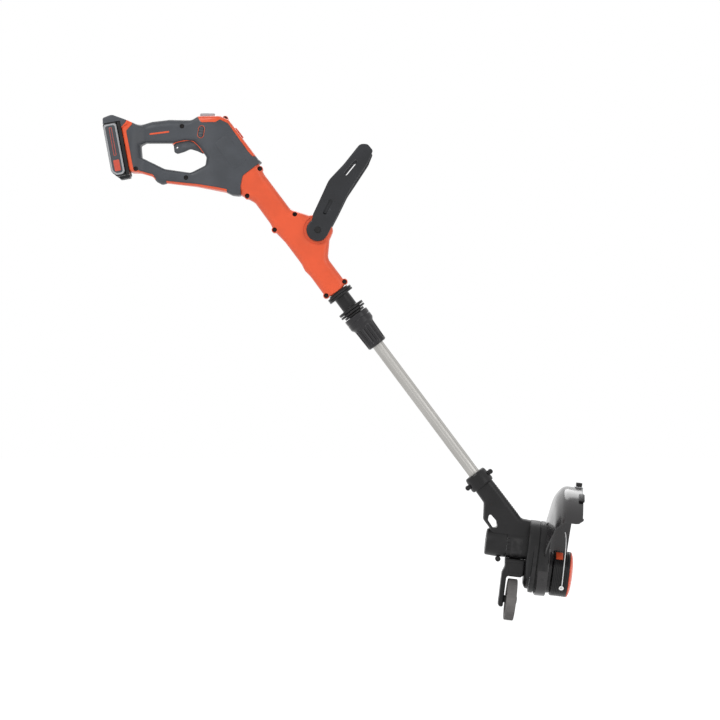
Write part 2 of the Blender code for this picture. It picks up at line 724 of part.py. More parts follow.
def make_speed_slider(shaft):
    start, end = SPEED_START + GAP, SPEED_START + SPEED_LENGTH - GAP
    stem = box((start, end), (-STEM_WIDTH / 2, STEM_WIDTH / 2), (SPINE_EDGE_V - 6, SPINE_EDGE_V + GAP + 0.5))
    cap = plate([stadium((start + end) / 2, 0.0, end - start, SPEED_WIDTH)], SPEED_PROUD / 2, 0.6)
    cap.transform(Matrix.Rotation(-math.pi / 2, 4, "X"))
    moved(cap, 0, 0, SPINE_EDGE_V + GAP + SPEED_PROUD / 2)
    part("speed_slider", joined(stem, cap), "black", shaft, (start, 0.0, SPINE_EDGE_V))


def make_dock(dock):
    strip = dock_strip()
    body = turned_into(joined(handle_body(0.0), plate([rounded(HOOD_OUTLINE)], HOOD_HALF, 2.5)),
                       IN_DOCK.inverted())
    item = part("dock_trim", body, "orange", dock)
    cut(item, strip, "strip", "INTERSECT")
    ends = (PACK_BOTTOM + 12, PACK_TOP - 14)
    rail = joined(box((-TEE_DEPTH, 2), (-TEE_NECK, TEE_NECK), ends),
                  box((-TEE_DEPTH, -TEE_DEPTH + TEE_LIP), (-TEE_HALF, TEE_HALF), ends))
    cut(item, box((-30, 0.0), (-60, 60), (-90, 90)), "face")
    cut(item, rail, "tee_rail", "UNION")
    cut(item, terminal_space(GAP), "terminals")
    part("terminal_block", terminal_space(), "black", dock)


def make_battery(dock):
    case = plate([rounded(PACK_OUTLINE)], PACK_HALF, 1.0, 0.0)
    item = part("battery_case", case, "black", dock)
    inner = box((-PACK_DEPTH + PACK_WALL, 0), (-PACK_HALF + PACK_WALL, PACK_HALF - PACK_WALL),
                (PACK_BOTTOM + 6, PACK_TOP - PACK_WALL))
    cut(item, inner, "hollow")
    notch = box((-24, 5), (-LATCH_HALF - GAP, LATCH_HALF + GAP), (PACK_BOTTOM - 5, PACK_BOTTOM + 3.3))
    cut(item, notch, "latch")

    rails = box((-RAIL_DEPTH, -GAP), (-RAIL_HALF, RAIL_HALF), (PACK_BOTTOM, PACK_TOP))
    item = part("battery_rails", rails, "black", dock)
    ends = (PACK_BOTTOM + 11, PACK_TOP + 9)
    neck, lip = TEE_NECK + SLIDE_GAP, TEE_HALF + SLIDE_GAP
    slot = joined(box((-TEE_DEPTH, 5), (-neck, neck), ends),
                  box((-TEE_DEPTH - SLIDE_GAP, -TEE_DEPTH + TEE_LIP + SLIDE_GAP), (-lip, lip), ends))
    cut(item, slot, "tee_slot")
    cut(item, notch, "latch")

    latch = box((-20.5, -1), (-LATCH_HALF, LATCH_HALF), (PACK_BOTTOM - 5, PACK_BOTTOM + 3))
    part("battery_latch", latch, "black", dock)

    depth = -PACK_DEPTH + PACK_WALL
    middle = (depth - RAIL_DEPTH) / 2
    first = (PACK_TOP + PACK_BOTTOM + 6 - PACK_WALL) / 2 - CELL_PITCH * (CELL_COUNT - 1) / 2
    cells = None
    for index in range(CELL_COUNT):
        cell = rod(CELL_RADIUS, -CELL_LENGTH / 2, CELL_LENGTH / 2, "Y", (middle, first + CELL_PITCH * index))
        cells = cell if cells is None else joined(cells, cell)
    for side in (-1, 1):
        ends = sorted((side * (CELL_LENGTH / 2 - 3), side * (PACK_HALF - PACK_WALL - GAP)))
        frame_plate = box((depth + GAP, -RAIL_DEPTH - 2 * GAP), ends,
                          (PACK_BOTTOM + 6 + GAP, PACK_TOP - PACK_WALL - GAP))
        cells = joined(cells, frame_plate)
    part("cell_pack", cells, "steel", dock)


def make_housing(shaft):
    outer = plate([rounded(HOUSING_OUTLINE)], HOUSING_HALF, HOUSING_EDGE)
    slabs(outer, HOUSING_CUTS, housing_half, HOUSING_HALF)
    edge = HOUSING_EDGE - 1.3 * HOUSING_WALL
    hollow = plate([rounded(HOUSING_OUTLINE)], HOUSING_HALF, edge, HOUSING_WALL, "Y", 1)
    slabs(hollow, HOUSING_CUTS, lambda u: housing_half(u) - HOUSING_WALL, HOUSING_HALF)
    boss = rod(9.0, -40, 40, "Y", AUX_PIVOT)
    hollow = joined(hollow, boss, "DIFFERENCE")
    for place in HOUSING_SCREWS:
        outer = joined(outer, rod(LUG_RADIUS, -LUG_HALF, LUG_HALF, "Y", place, 12))
        hollow = joined(hollow, rod(LUG_RADIUS - 0.6, -40, 40, "Y", place, 8), "DIFFERENCE")
    sleeve_bore = rod(sleeve_radius() + GAP, HOUSING_END - 10, HOUSING_END + 10, "X", (0, 0), 32)
    tools = [
        (region(HOUSING_REGION, -GAP / 2), "region", "INTERSECT"),
        (hollow, "hollow", "DIFFERENCE"),
        (sleeve_bore, "mouth", "DIFFERENCE"),
        (rod(BOLT_RADIUS + GAP, -60, 60, "Y", AUX_PIVOT), "bolt", "DIFFERENCE"),
        (screw_holes(HOUSING_SCREWS, lambda u: LUG_HALF), "screws", "DIFFERENCE"),
    ]
    for side, far in (("near", False), ("far", True)):
        item = part(f"shaft_shell_{side}", outer, "orange", shaft)
        other = (-70, SEAM_Y + GAP / 2) if far else (SEAM_Y - GAP / 2, 70)
        cut(item, box((-650, 0), other, (-100, 100)), "other_half")
        for tool, label, operation in tools:
            cut(item, tool, label, operation)
    for index, place in enumerate(HOUSING_SCREWS):
        screw(f"housing_screw_{index + 1}", place, LUG_HALF, shaft)


def sleeve_radius():
    return TUBE_RADIUS + SLIDE_GAP + SLEEVE_WALL


def make_sleeve(shaft):
    bore = TUBE_RADIUS + SLIDE_GAP
    outer = sleeve_radius()
    start = HOUSING_END + GAP
    flange = ((start, outer + GAP), (start, RING_RADIUS - 6), (start + 2.7, RING_RADIUS - 6),
              (start + 2.7, RING_RADIUS - 0.5), (start + 6.7, RING_RADIUS - 0.5), (start + 6.7, outer + GAP))
    part("upper_flange", lathe(flange), "black", shaft)

    ring = start + 7.0
    profile = ((SLEEVE_START, bore), (SLEEVE_START, outer + 4.5), (SLEEVE_START + 10, outer + 4.5),
               (SLEEVE_START + 10, outer), (ring, outer), (ring, RING_RADIUS - 0.5),
               (ring + 4.5, RING_RADIUS - 0.5), (ring + 4.5, outer + 1), (ring + 31.5, outer + 1),
               (ring + 31.5, RING_RADIUS), (ring + 36.5, RING_RADIUS), (ring + 36.5, outer + 1),
               (ring + 37.7, outer + 1), (ring + 37.7, RING_RADIUS), (ring + 41.7, RING_RADIUS),
               (ring + 41.7, outer + 1), (ring + 42.7, outer + 1), (ring + 42.7, 21),
               (COLLAR_START - 1, 21), (COLLAR_START - 1, outer), (SLEEVE_END, outer), (SLEEVE_END, bore))
    part("turn_sleeve", lathe(profile), "black", shaft)

    seat = outer + GAP
    profile = ((COLLAR_START, seat), (COLLAR_START, COLLAR_RADIUS - 1), (COLLAR_START + 1, COLLAR_RADIUS),
               (COLLAR_START + 20, COLLAR_RADIUS), (COLLAR_START + 22, COLLAR_RADIUS - 1),
               (COLLAR_START + 25, COLLAR_GRIP + 0.8), (COLLAR_END - 4, COLLAR_GRIP - 0.5),
               (COLLAR_END - 1.2, COLLAR_GRIP - 1.7), (COLLAR_END, COLLAR_GRIP - 4.5), (COLLAR_END, bore),
               (SLEEVE_END + GAP, bore), (SLEEVE_END + GAP, seat))
    part("height_collar", lathe(profile), "black", shaft)

    profile = ((TUBE_START, TUBE_RADIUS - TUBE_WALL), (TUBE_START, TUBE_RADIUS), (TUBE_END, TUBE_RADIUS),
               (TUBE_END, TUBE_RADIUS - TUBE_WALL))
    part("inner_tube", lathe(profile), "metal", shaft)


def aux_side(distance):
    """How far an arm of the front handle stands from the middle, at a distance from its pivot."""
    return HOUSING_HALF + GAP + AUX_THICK / 2 + blend(distance, *AUX_SPREADS, 0.0, AUX_SPREAD)


def make_aux_handle(shaft):
    pivot = Vector(AUX_PIVOT)
    foot = []
    for k in range(8):
        foot.append(pivot + Matrix.Rotation(math.radians(-24 - 22 * k), 2) @ Vector((AUX_ROUND, 0)))
    outline = rounded(AUX_OUTLINE) + foot
    arms = []
    for side in (-1, 1):
        arm = plate([outline, stadium(*AUX_SLOT)], AUX_THICK / 2, 2.0, 0.0, "Y", 1)
        shell = bmesh.new()
        shell.from_mesh(arm)
        for distance in AUX_CUTS:
            everything = shell.verts[:] + shell.edges[:] + shell.faces[:]
            place = (pivot.x * MM, 0, (pivot.y + distance) * MM)
            bmesh.ops.bisect_plane(shell, geom=everything, plane_co=place, plane_no=(0, 0, 1))
        for vertex in shell.verts:
            distance = (Vector((vertex.co.x, vertex.co.z)) / MM - pivot).length
            vertex.co.y += side * aux_side(distance) * MM
        shell.to_mesh(arm)
        shell.free()
        arms.append(arm)
    reach = 0.98 * aux_side(AUX_SPREADS[1])
    bar = []
    for k in range(13):
        turn = math.pi * (k / 12 - 0.5)
        bow = math.cos(turn)
        bar.append((AUX_BAR_PLACE[0] - 4 * bow, reach * math.sin(turn), AUX_BAR_PLACE[1] + 3 * bow))
    body = joined(joined(tube(bar, AUX_BAR, 3), arms[0]), arms[1])
    item = part("aux_handle", body, "black", shaft, (AUX_PIVOT[0], 0.0, AUX_PIVOT[1]))
    cut(item, rod(BOLT_RADIUS + GAP, -60, 60, "Y", AUX_PIVOT), "bolt")

    outside = HOUSING_HALF + 2 * GAP + AUX_THICK
    bolt = rod(BOLT_RADIUS, -outside - 1, outside + 1, "Y", AUX_PIVOT)
    for side in (-1, 1):
        ends = sorted((side * outside, side * (outside + BOLT_HEAD_THICK)))
        bolt = joined(bolt, rod(BOLT_HEAD, *ends, "Y", AUX_PIVOT, 24))
    part("aux_pivot_bolt", bolt, "black", shaft)


def gearbox(start, end, shrink, edge=0.0):
    """A block whose outline wraps the two gear circles, between two places along the spindle."""
    low, top = GEARBOX_LOW_RADIUS - shrink, GEARBOX_TOP_RADIUS - shrink
    lean = math.asin((top - low) / MOTOR_OFFSET)
    outline = []
    for centre, radius, first, last in ((MOTOR_OFFSET, top, -lean, math.pi + lean),
                                        (0.0, low, math.pi + lean, 2 * math.pi - lean)):
        for k in range(12):
            turn = first + (last - first) * k / 11
            outline.append(Vector((radius * math.cos(turn), centre + radius * math.sin(turn))))
    block = plate([outline], (end - start) / 2, edge, 0.0, "X")
    return moved(block, (start + end) / 2)


def make_head(shaft, head):
    outer = gearbox(GEARBOX_START, GEARBOX_END, 0.0, 4.0)
    drum = rod(MOTOR_COVER_RADIUS, MOTOR_SPLIT, GEARBOX_START + 8, "X", (0, MOTOR_OFFSET), ROUND_STEPS)
    outer = joined(outer, drum)
    start = GUARD_RING_START - GAP
    ring_space = lathe(((start, NOSE_RADIUS - 1), (start, GUARD_RING_RADIUS + GAP),
                        (20, GUARD_RING_RADIUS + GAP), (20, NOSE_RADIUS - 1)))
    outer = joined(outer, ring_space, "DIFFERENCE")
    outer = joined(outer, rod(NOSE_RADIUS, GUARD_RING_START - 5, NOSE_END, "X", (0, 0), ROUND_STEPS))
    eye = plate([rounded(EYE_OUTLINE)], 40.0)
    neck = joined(plate([rounded(NECK_OUTLINE)], NECK_HALF, 7.6), eye, "DIFFERENCE")
    neck.transform(SHAFT_FROM_HEAD)
    outer = joined(outer, neck)
    profile = ((NECK_START, 0.0), (NECK_START, 19.5), (NECK_START + 3, 21.0), (NECK_START + 24, 23.5),
               (NECK_START + 28, 22.0), (NECK_START + 28, 0.0))
    collar = lathe(profile)
    for v in (26.5, -26.0):
        collar = joined(collar, rod(4.5, -9, 9, "Y", (NECK_START + 14.5, v)))
        web = box((NECK_START + 10.5, NECK_START + 18.5), (-8.5, 8.5), sorted((v, v * 0.7)))
        collar = joined(collar, web)
    collar.transform(SHAFT_FROM_HEAD)
    outer = joined(outer, collar)

    inside = gearbox(GEAR_SPACE_START, GEARBOX_END - GEARBOX_WALL, GEARBOX_WALL)
    start = GUARD_RING_START - 3
    beyond = 1.2 * GEARBOX_TOP_RADIUS
    around_nose = lathe(((start, NOSE_RADIUS - GEARBOX_WALL), (start, beyond), (0, beyond),
                         (0, NOSE_RADIUS - GEARBOX_WALL)))
    inside = joined(inside, around_nose, "DIFFERENCE")
    at_motor = (0, MOTOR_OFFSET)
    motor_space = rod(motor_radius() + GAP, MOTOR_START, GEARBOX_START, "X", at_motor, ROUND_STEPS)
    ends = (MOTOR_START - 30, MOTOR_SPLIT + GAP / 2)
    cover_space = rod(MOTOR_COVER_RADIUS + GAP, *ends, "X", at_motor, ROUND_STEPS)
    lug_space = box((-104, -90), (-9, 9), (-10, 30))
    spindle_hole = rod(SPINDLE_RADIUS + 1, GEAR_START, NOSE_END + 5, "X")
    shaft_hole = rod(SHAFT_RADIUS + 2, GEARBOX_START - 5, GEAR_SPACE_START + 2, "X", at_motor)
    bearing_seat = rod(8.0 + GAP, GEAR_SPACE_START - 4.3, GEAR_SPACE_START + 2, "X", (0, 0), 24)
    nose_seat = rod(11.0 + GAP, -12, 10, "X", (0, 0), 24)
    half_step = 180 / ROUND_STEPS
    tube_hole = rod(TUBE_RADIUS + GAP, NECK_START - 10, TUBE_END + GAP, "X", (0, 0), ROUND_STEPS, half_step)
    tube_space = turned_into(tube_hole, SHAFT_FROM_HEAD)
    wire_space = turned_into(box((TUBE_END - 5, TUBE_END + 70), (-6.2, 6.2), (-6.4, 6.4)), SHAFT_FROM_HEAD)
    tools = [
        (wire_space, "wires"), (inside, "gear_space"), (motor_space, "motor_space"),
        (shaft_hole, "shaft_hole"), (cover_space, "cover"), (lug_space, "lug"), (spindle_hole, "spindle"),
        (bearing_seat, "bearing_seat"), (nose_seat, "nose_seat"), (tube_space, "tube"),
    ]
    for side, far in (("near", False), ("far", True)):
        item = part(f"head_shell_{side}", outer, "black", head)
        other = (-70, SEAM_Y + GAP / 2) if far else (SEAM_Y - GAP / 2, 70)
        for tool, label in tools:
            cut(item, tool, label)
        cut(item, box((-300, 100), other, (-100, 300)), "other_half", "DIFFERENCE", "MANIFOLD")


def motor_radius():
    return MOTOR_COVER_RADIUS - MOTOR_COVER_WALL - GAP


def make_drive(head):
    radius = motor_radius()
    outer = MOTOR_COVER_RADIUS
    profile = ((MOTOR_START, 0.0), (MOTOR_START, outer - 3), (MOTOR_START + 0.9, outer - 0.9),
               (MOTOR_START + 3, outer), (MOTOR_SPLIT - GAP, outer), (MOTOR_SPLIT - GAP, radius + GAP),
               (MOTOR_START + 3, radius + GAP), (MOTOR_START + 3, 0.0))
    cover = lathe(profile, MOTOR_OFFSET)
    lug = plate([rounded(COVER_LUG)], 8.0, 1.0)
    lug = joined(lug, rod(radius + 1, MOTOR_START, 0, "X", (0, MOTOR_OFFSET)), "DIFFERENCE")
    cover = joined(cover, lug)
    part("motor_cover", cover, "black", head)

    can = lathe(((MOTOR_START + 3.3, 0.0), (MOTOR_START + 3.3, radius), (GEARBOX_START - GAP, radius),
                 (GEARBOX_START - GAP, SHAFT_RADIUS + GAP), (GEARBOX_START - 12, SHAFT_RADIUS + GAP),
                 (GEARBOX_START - 12, 0.0)), MOTOR_OFFSET)
    part("motor_can", can, "steel", head)

    shank = rod(SHAFT_RADIUS, GEARBOX_START - 11.5, GEAR_START + GEAR_WIDTH + 2, "X", (0, MOTOR_OFFSET))
    pinion = joined(gear(PINION_TEETH, 15.0, MOTOR_OFFSET), shank)
    part("motor_shaft", pinion, "steel", head, (0.0, 0.0, MOTOR_OFFSET))
    spindle = rod(SPINDLE_RADIUS, GEAR_SPACE_START - 4, SPOOL_START + 8, "X")
    part("output_gear", joined(gear(GEAR_TEETH, 0.0, 0.0), spindle), "steel", head)
    for name, start, width, outer in (("bearing_upper", GEAR_SPACE_START - 4, 3.7, 8.0),
                                      ("bearing_lower", -11.7, 7.0, 11.0)):
        ring = ((start, SPINDLE_RADIUS + GAP), (start, outer), (start + width, outer),
                (start + width, SPINDLE_RADIUS + GAP))
        part(name, lathe(ring, 0.0, 16), "steel", head)


def gear(teeth, first, at):
    """A spur gear with tapered teeth, a little slimmer than their gaps."""
    pitch_radius = MODULE * teeth / 2
    root, tip = pitch_radius - 1.15 * MODULE, pitch_radius + 0.85 * MODULE
    step = 2 * math.pi / teeth
    outline = []
    for k in range(teeth):
        for radius, share in ((root, -0.30), (tip, -0.12), (tip, 0.12), (root, 0.30)):
            turn = math.pi / 2 + math.radians(first) + step * (k + share)
            outline.append(Vector((radius * math.cos(turn), radius * math.sin(turn))))
    body = plate([outline], GEAR_WIDTH / 2, 0.0, 0.0, "X")
    return moved(body, GEAR_START + GEAR_WIDTH / 2, 0.0, at)


def polar(radius, angle):
    """A point across the spindle: the angle is from the head's top towards the near side."""
    return Vector((-radius * math.sin(math.radians(angle)), radius * math.cos(math.radians(angle))))


def make_guard(head):
    fan = [polar(GUARD_RADIUS, GUARD_FAR + (GUARD_NEAR - GUARD_FAR) * k / 22) for k in range(23)]
    outline = fan + [Vector(corner) for corner in GUARD_FOOT]
    start, end = GEARBOX_END + GAP, GUARD_SKIRT_END
    body = moved(plate([outline], (end - start) / 2, 0.0, 0.0, "X", 1), (start + end) / 2)
    dish = [(start, GUARD_FLAT)] + [(start + lift, GUARD_RADIUS - inward) for lift, inward in GUARD_DISH]
    beyond = end + 5, dish[-1][1]
    solid = lathe([(start, 0.0), *dish, beyond, (beyond[0], 0.0)], 0.0, GUARD_STEPS)
    floor, inner = start + GUARD_PLATE, GUARD_RADIUS - GUARD_PLATE
    lining = [(along + 0.9 * GUARD_PLATE, radius - 0.4 * GUARD_PLATE) for along, radius in dish[1:-2]]
    lining = [(floor, 0.0), (floor, dish[0][1]), *lining, (dish[-1][0], inner), (beyond[0], inner), (beyond[0], 0.0)]
    body = joined(joined(body, solid, "INTERSECT"), lathe(lining, 0.0, GUARD_STEPS), "DIFFERENCE")
    ring = lathe(((GUARD_RING_START, NOSE_RADIUS + GAP), (GUARD_RING_START, GUARD_RING_RADIUS),
                  (GUARD_RING_END, GUARD_RING_RADIUS), (GUARD_RING_END, NOSE_RADIUS + GAP)))
    body = joined(joined(body, rod(NOSE_RADIUS + 1, -60, 60, "X", (0, 0), ROUND_STEPS), "DIFFERENCE"), ring)
    item = part("guard", body, "black", head)
    at, radius = GUARD_SCREW_PLACE, GUARD_SCREW_RADIUS
    cut(item, rod(radius + GAP, start - 5, start + 8, "X", at, 12), "screw")
    screw_body = joined(rod(radius, GEARBOX_END - 2.5, start + GUARD_PLATE + 1, "X", at, 12),
                        rod(4.0, start + GUARD_PLATE + GAP, start + GUARD_PLATE + 2.8, "X", at))
    pilot = rod(radius + GAP, GEARBOX_END - GEARBOX_WALL - 1, GEARBOX_END + 2, "X", at, 12)
    for side in ("near", "far"):
        cut(bpy.data.objects[f"head_shell_{side}"], pilot, "guard_screw")
    part("guard_screw", screw_body, "steel", head)

    outside = GUARD_RADIUS + GAP
    wide, top = (-BLADE_HALF, BLADE_HALF), outside + BLADE_THICK
    blade = box((BLADE_START, BLADE_END), wide, (outside, top))
    blade = joined(blade, box((BLADE_END - BLADE_THICK, BLADE_END), wide, (outside - BLADE_LIP, top)))
    part("line_blade", blade, "steel", head)


def make_wheel(head):
    fork = plate([rounded(FORK_OUTLINE)], 15.0, 1.5)
    item = part("wheel_fork", fork, "black", head)
    cut(item, rod(AXLE_RADIUS + GAP, ARM_START - 5, ARM_START + 20, "X", (0, WHEEL_DROP)), "axle")
    inner = WHEEL_START - GAP
    axle = joined(rod(AXLE_RADIUS, ARM_START + 0.5, WHEEL_START + WHEEL_WIDTH + 2, "X", (0, WHEEL_DROP)),
                  rod(7.0, ARM_START + ARM_THICK + GAP, inner, "X", (0, WHEEL_DROP)))
    axle = joined(axle, rod(6.5, WHEEL_START + WHEEL_WIDTH + GAP, WHEEL_START + WHEEL_WIDTH + 2.5, "X",
                            (0, WHEEL_DROP)))
    part("wheel_axle", axle, "black", head)

    start, end = WHEEL_START, WHEEL_START + WHEEL_WIDTH
    bore = AXLE_RADIUS + GAP
    middle = start + WHEEL_WIDTH / 2
    profile = ((start, bore), (start, 11.0), (start + 3.5, 12.5), (start + 3.5, WHEEL_RADIUS - 12),
               (start + 0.5, WHEEL_RADIUS - 8), (start + 3, WHEEL_RADIUS - 2.2), (middle, WHEEL_RADIUS),
               (end - 3, WHEEL_RADIUS - 2.2), (end - 0.5, WHEEL_RADIUS - 8), (end - 3.5, WHEEL_RADIUS - 12),
               (end - 3.5, 12.5), (end, 11.0), (end, bore))
    part("edge_wheel", lathe(profile, WHEEL_DROP, WIDE_STEPS), "wheel", head, (0.0, 0.0, WHEEL_DROP))


def around(mesh, angle):
    """The mesh turned about the spindle, from straight up towards the near side."""
    mesh.transform(Matrix.Rotation(math.radians(angle), 4, "X"))
    return mesh


def make_spool(head):
    inner = SPOOL_RADIUS - SPOOL_WALL
    floor = SPOOL_START + 3.2
    bore = SPINDLE_RADIUS + GAP
    profile = ((SPOOL_START, bore), (SPOOL_START, SPOOL_RADIUS - 3), (SPOOL_START + 3, SPOOL_RADIUS),
               (SPOOL_END, SPOOL_RADIUS), (SPOOL_END, inner), (floor, inner), (floor, bore))
    item = part("spool_housing", lathe(profile, 0.0, WIDE_STEPS), "black", head)
    half = TAB_WIDTH / 2
    reach = TAB_LENGTH / 2
    for side, angle in (("near", 90 - TAB_ANGLE), ("far", 270 - TAB_ANGLE)):
        window = box((TAB_MIDDLE - half - GAP, TAB_MIDDLE + half + GAP), (-reach - GAP, reach + GAP),
                     (inner - 3, SPOOL_RADIUS + 3))
        cut(item, around(window, angle), f"window_{side}")
        block = box((TAB_MIDDLE - half, TAB_MIDDLE + half), (-reach, reach), (inner - 0.6, SPOOL_RADIUS + 3))
        tab = joined(block, rod(SPOOL_RADIUS + 0.6, 0, 30, "X", (0, 0), WIDE_STEPS), "INTERSECT")
        part(f"release_tab_{side}", around(tab, angle), "orange", head)
    eye_turn = 90 - EYELET_ANGLE
    hole = rod(EYELET_BODY + GAP, 0, 10, "X", (0, 0))
    hole.transform(Matrix.Rotation(-math.pi / 2, 4, "Y"))
    cut(item, around(moved(hole, EYELET_A, 0, inner - 4), eye_turn), "eyelet")
    ring = lathe(((-3.0, EYELET_BORE), (-3.0, EYELET_BODY), (0.35, EYELET_BODY), (0.35, EYELET_RADIUS),
                  (1.8, EYELET_RADIUS - 0.6), (2.1, EYELET_BORE + 1), (1.4, EYELET_BORE)), 0.0, 16)
    ring.transform(Matrix.Rotation(-math.pi / 2, 4, "Y"))
    part("line_eyelet", around(moved(ring, EYELET_A, 0, SPOOL_RADIUS), eye_turn), "metal", head)

    reel_start, reel_end = floor + GAP, SPOOL_END - 3.5
    hub = SPINDLE_RADIUS + 2.5
    spool = ((reel_start, hub), (reel_start, REEL_RADIUS), (reel_start + 1.6, REEL_RADIUS),
             (reel_start + 1.6, REEL_CORE), (reel_end - 1.6, REEL_CORE), (reel_end - 1.6, REEL_RADIUS),
             (reel_end, REEL_RADIUS), (reel_end, hub))
    part("line_spool", lathe(spool), "black", head)
    wound = ((reel_start + 1.6 + GAP, REEL_CORE + GAP), (reel_start + 1.6 + GAP, REEL_RADIUS - 5),
             (reel_end - 1.6 - GAP, REEL_RADIUS - 5), (reel_end - 1.6 - GAP, REEL_CORE + GAP))
    part("wound_line", lathe(wound), "white", head)

    cap_start = SPOOL_END + GAP
    cap = ((reel_start + 6, 0.0), (reel_start + 6, hub - GAP), (cap_start - 3, hub - GAP),
           (cap_start - 3, inner - 4), (cap_start - 3, inner - GAP), (cap_start, inner - GAP),
           (cap_start, SPOOL_RADIUS - 0.5), (cap_start + 1.5, SPOOL_RADIUS - 0.8),
           (cap_start + 4.2, 0.8 * SPOOL_RADIUS), (cap_start + 6.2, 0.575 * SPOOL_RADIUS),
           (cap_start + CAP_DOME, 0.0))
    item = part("spool_cap", lathe(cap, 0.0, WIDE_STEPS), "orange", head)
    cut(item, rod(SPINDLE_RADIUS + GAP, 0, SPOOL_START + 8.5, "X"), "spindle")

    part("trimmer_line", tube(LINE_ROUTE, LINE_DIAMETER / 2, 2), "white", head)


def main():
    clear_scene()
    dock = frame("dock_frame", DOCK_ORIGIN, DOCK_TILT)
    shaft = frame("shaft_frame", SHAFT_ORIGIN, SHAFT_TILT)
    head = frame("head_frame", (HEAD_ALONG, 0.0, 0.0), HEAD_TURN, shaft)
    make_handle()
    make_controls()
    make_speed_slider(shaft)
    make_dock(dock)
    make_battery(dock)
    make_housing(shaft)
    make_sleeve(shaft)
    make_aux_handle(shaft)
    make_head(shaft, head)
    make_drive(head)
    make_guard(head)
    make_wheel(head)
    make_spool(head)


main()
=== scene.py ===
import math
import bmesh
import bpy
import numpy as np
from mathutils import Matrix, Vector


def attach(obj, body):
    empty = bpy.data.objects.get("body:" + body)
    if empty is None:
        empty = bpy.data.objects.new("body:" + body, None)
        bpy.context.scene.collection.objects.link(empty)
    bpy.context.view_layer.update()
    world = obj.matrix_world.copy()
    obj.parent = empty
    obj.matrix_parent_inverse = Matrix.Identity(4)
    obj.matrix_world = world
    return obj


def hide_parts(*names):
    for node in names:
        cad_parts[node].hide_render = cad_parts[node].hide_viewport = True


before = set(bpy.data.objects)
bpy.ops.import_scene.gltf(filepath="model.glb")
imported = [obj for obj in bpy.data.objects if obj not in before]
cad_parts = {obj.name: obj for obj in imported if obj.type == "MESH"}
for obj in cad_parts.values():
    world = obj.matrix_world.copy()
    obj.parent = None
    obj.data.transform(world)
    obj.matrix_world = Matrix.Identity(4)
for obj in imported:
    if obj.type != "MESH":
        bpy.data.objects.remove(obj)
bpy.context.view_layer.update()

mm = 0.001
clearance = 0.3

# Where the halves of each shell meet, in mm
seam = {"place": 1.2, "gap": 0.35, "square": 9.0, "depth": 200.0}

# Each local frame: its origin, the direction of its first coordinate and that of its last, in mm
localFrames = {
    "world": ((0.0, 0.0, 0.0), (1.0, 0.0, 0.0), (0.0, 0.0, 1.0)),
    "dock": ((-65.0, 0.0, 0.0), (0.983255, 0.0, 0.182236), (-0.182236, 0.0, 0.983255)),
    "shaft": ((499.1, 0.0, -498.9), (0.599024, 0.0, -0.800731), (0.800731, 0.0, 0.599024)),
    "head": ((725.7106, 0.0, -801.8167), (0.992546, 0.0, -0.121869), (0.121869, 0.0, 0.992546)),
}


# Shapes from arrays

def placed(points, where):
    # along, sideways and across in a local frame, as metres in the object's own
    origin, along, across = (np.array(value) for value in localFrames[where])
    points = np.asarray(points, float).reshape(-1, 3)
    forward, sideways = points[:, :1] * along, points[:, 1:2] * np.array((0.0, 1.0, 0.0))
    return (origin + forward + sideways + points[:, 2:] * across) * mm


def linked(data, name="piece"):
    piece = bpy.data.objects.new(name, data)
    bpy.context.scene.collection.objects.link(piece)
    return piece


def fromShell(shell):
    bmesh.ops.recalc_face_normals(shell, faces=shell.faces)
    mesh = bpy.data.meshes.new("piece")
    shell.to_mesh(mesh)
    shell.free()
    return linked(mesh)


def makePiece(points, faces, where="world"):
    # a mesh from points in a local frame, its doubles merged and its normals made to point outwards
    mesh = bpy.data.meshes.new("piece")
    mesh.from_pydata(placed(points, where).tolist(), [], faces)
    shell = bmesh.new()
    shell.from_mesh(mesh)
    bmesh.ops.remove_doubles(shell, verts=shell.verts, dist=2e-7)
    return fromShell(shell)


def skin(grid, where="world", closeRows=False, caps=True):
    # a grid of rows by columns as one skin, closed along its columns; open ends get a flat cap
    rows, columns = grid.shape[:2]
    row, column = np.meshgrid(np.arange(rows if closeRows else rows - 1), np.arange(columns), indexing="ij")
    nextRow, nextColumn = (row + 1) % rows, (column + 1) % columns
    corners = ((row, column), (nextRow, column), (nextRow, nextColumn), (row, nextColumn))
    faces = np.stack([first * columns + second for first, second in corners], -1).reshape(-1, 4).tolist()
    if caps and not closeRows:
        faces.append(list(range(columns)))
        faces.append(list(range((rows - 1) * columns, rows * columns)))
    return makePiece(grid, faces, where)


def roundedOutline(corners, closed=True, step=7.0):
    # straight lines between the corners, with an arc tangent to both at each, of the corner's radius
    spots = np.array([corner[:2] for corner in corners], float)
    stretches = []
    for index, corner in enumerate(corners):
        here = spots[index]
        if corner[2] <= 0 or (not closed and index in (0, len(corners) - 1)):
            stretches.append(here[None])
            continue
        before, after = spots[index - 1] - here, spots[(index + 1) % len(corners)] - here
        lengths = np.hypot(*before), np.hypot(*after)
        before, after = before / lengths[0], after / lengths[1]
        turn = math.pi - math.acos(max(-1.0, min(1.0, float(before @ after))))
        if turn < 0.02:
            stretches.append(here[None])
            continue
        reach = min(corner[2] * math.tan(turn / 2), 0.49 * lengths[0], 0.49 * lengths[1])
        middle = (before + after) / np.hypot(*(before + after))
        centre = here + middle * reach / math.sin(turn / 2)
        start, end = here + before * reach - centre, here + after * reach - centre
        side = math.copysign(1.0, start[0] * end[1] - start[1] * end[0])
        angle = np.linspace(0, side * turn, max(2, math.ceil(math.degrees(turn) / step) + 1))[:, None]
        stretches.append(centre + np.cos(angle) * start + np.sin(angle) * np.array((-start[1], start[0])))
    return np.concatenate(stretches)


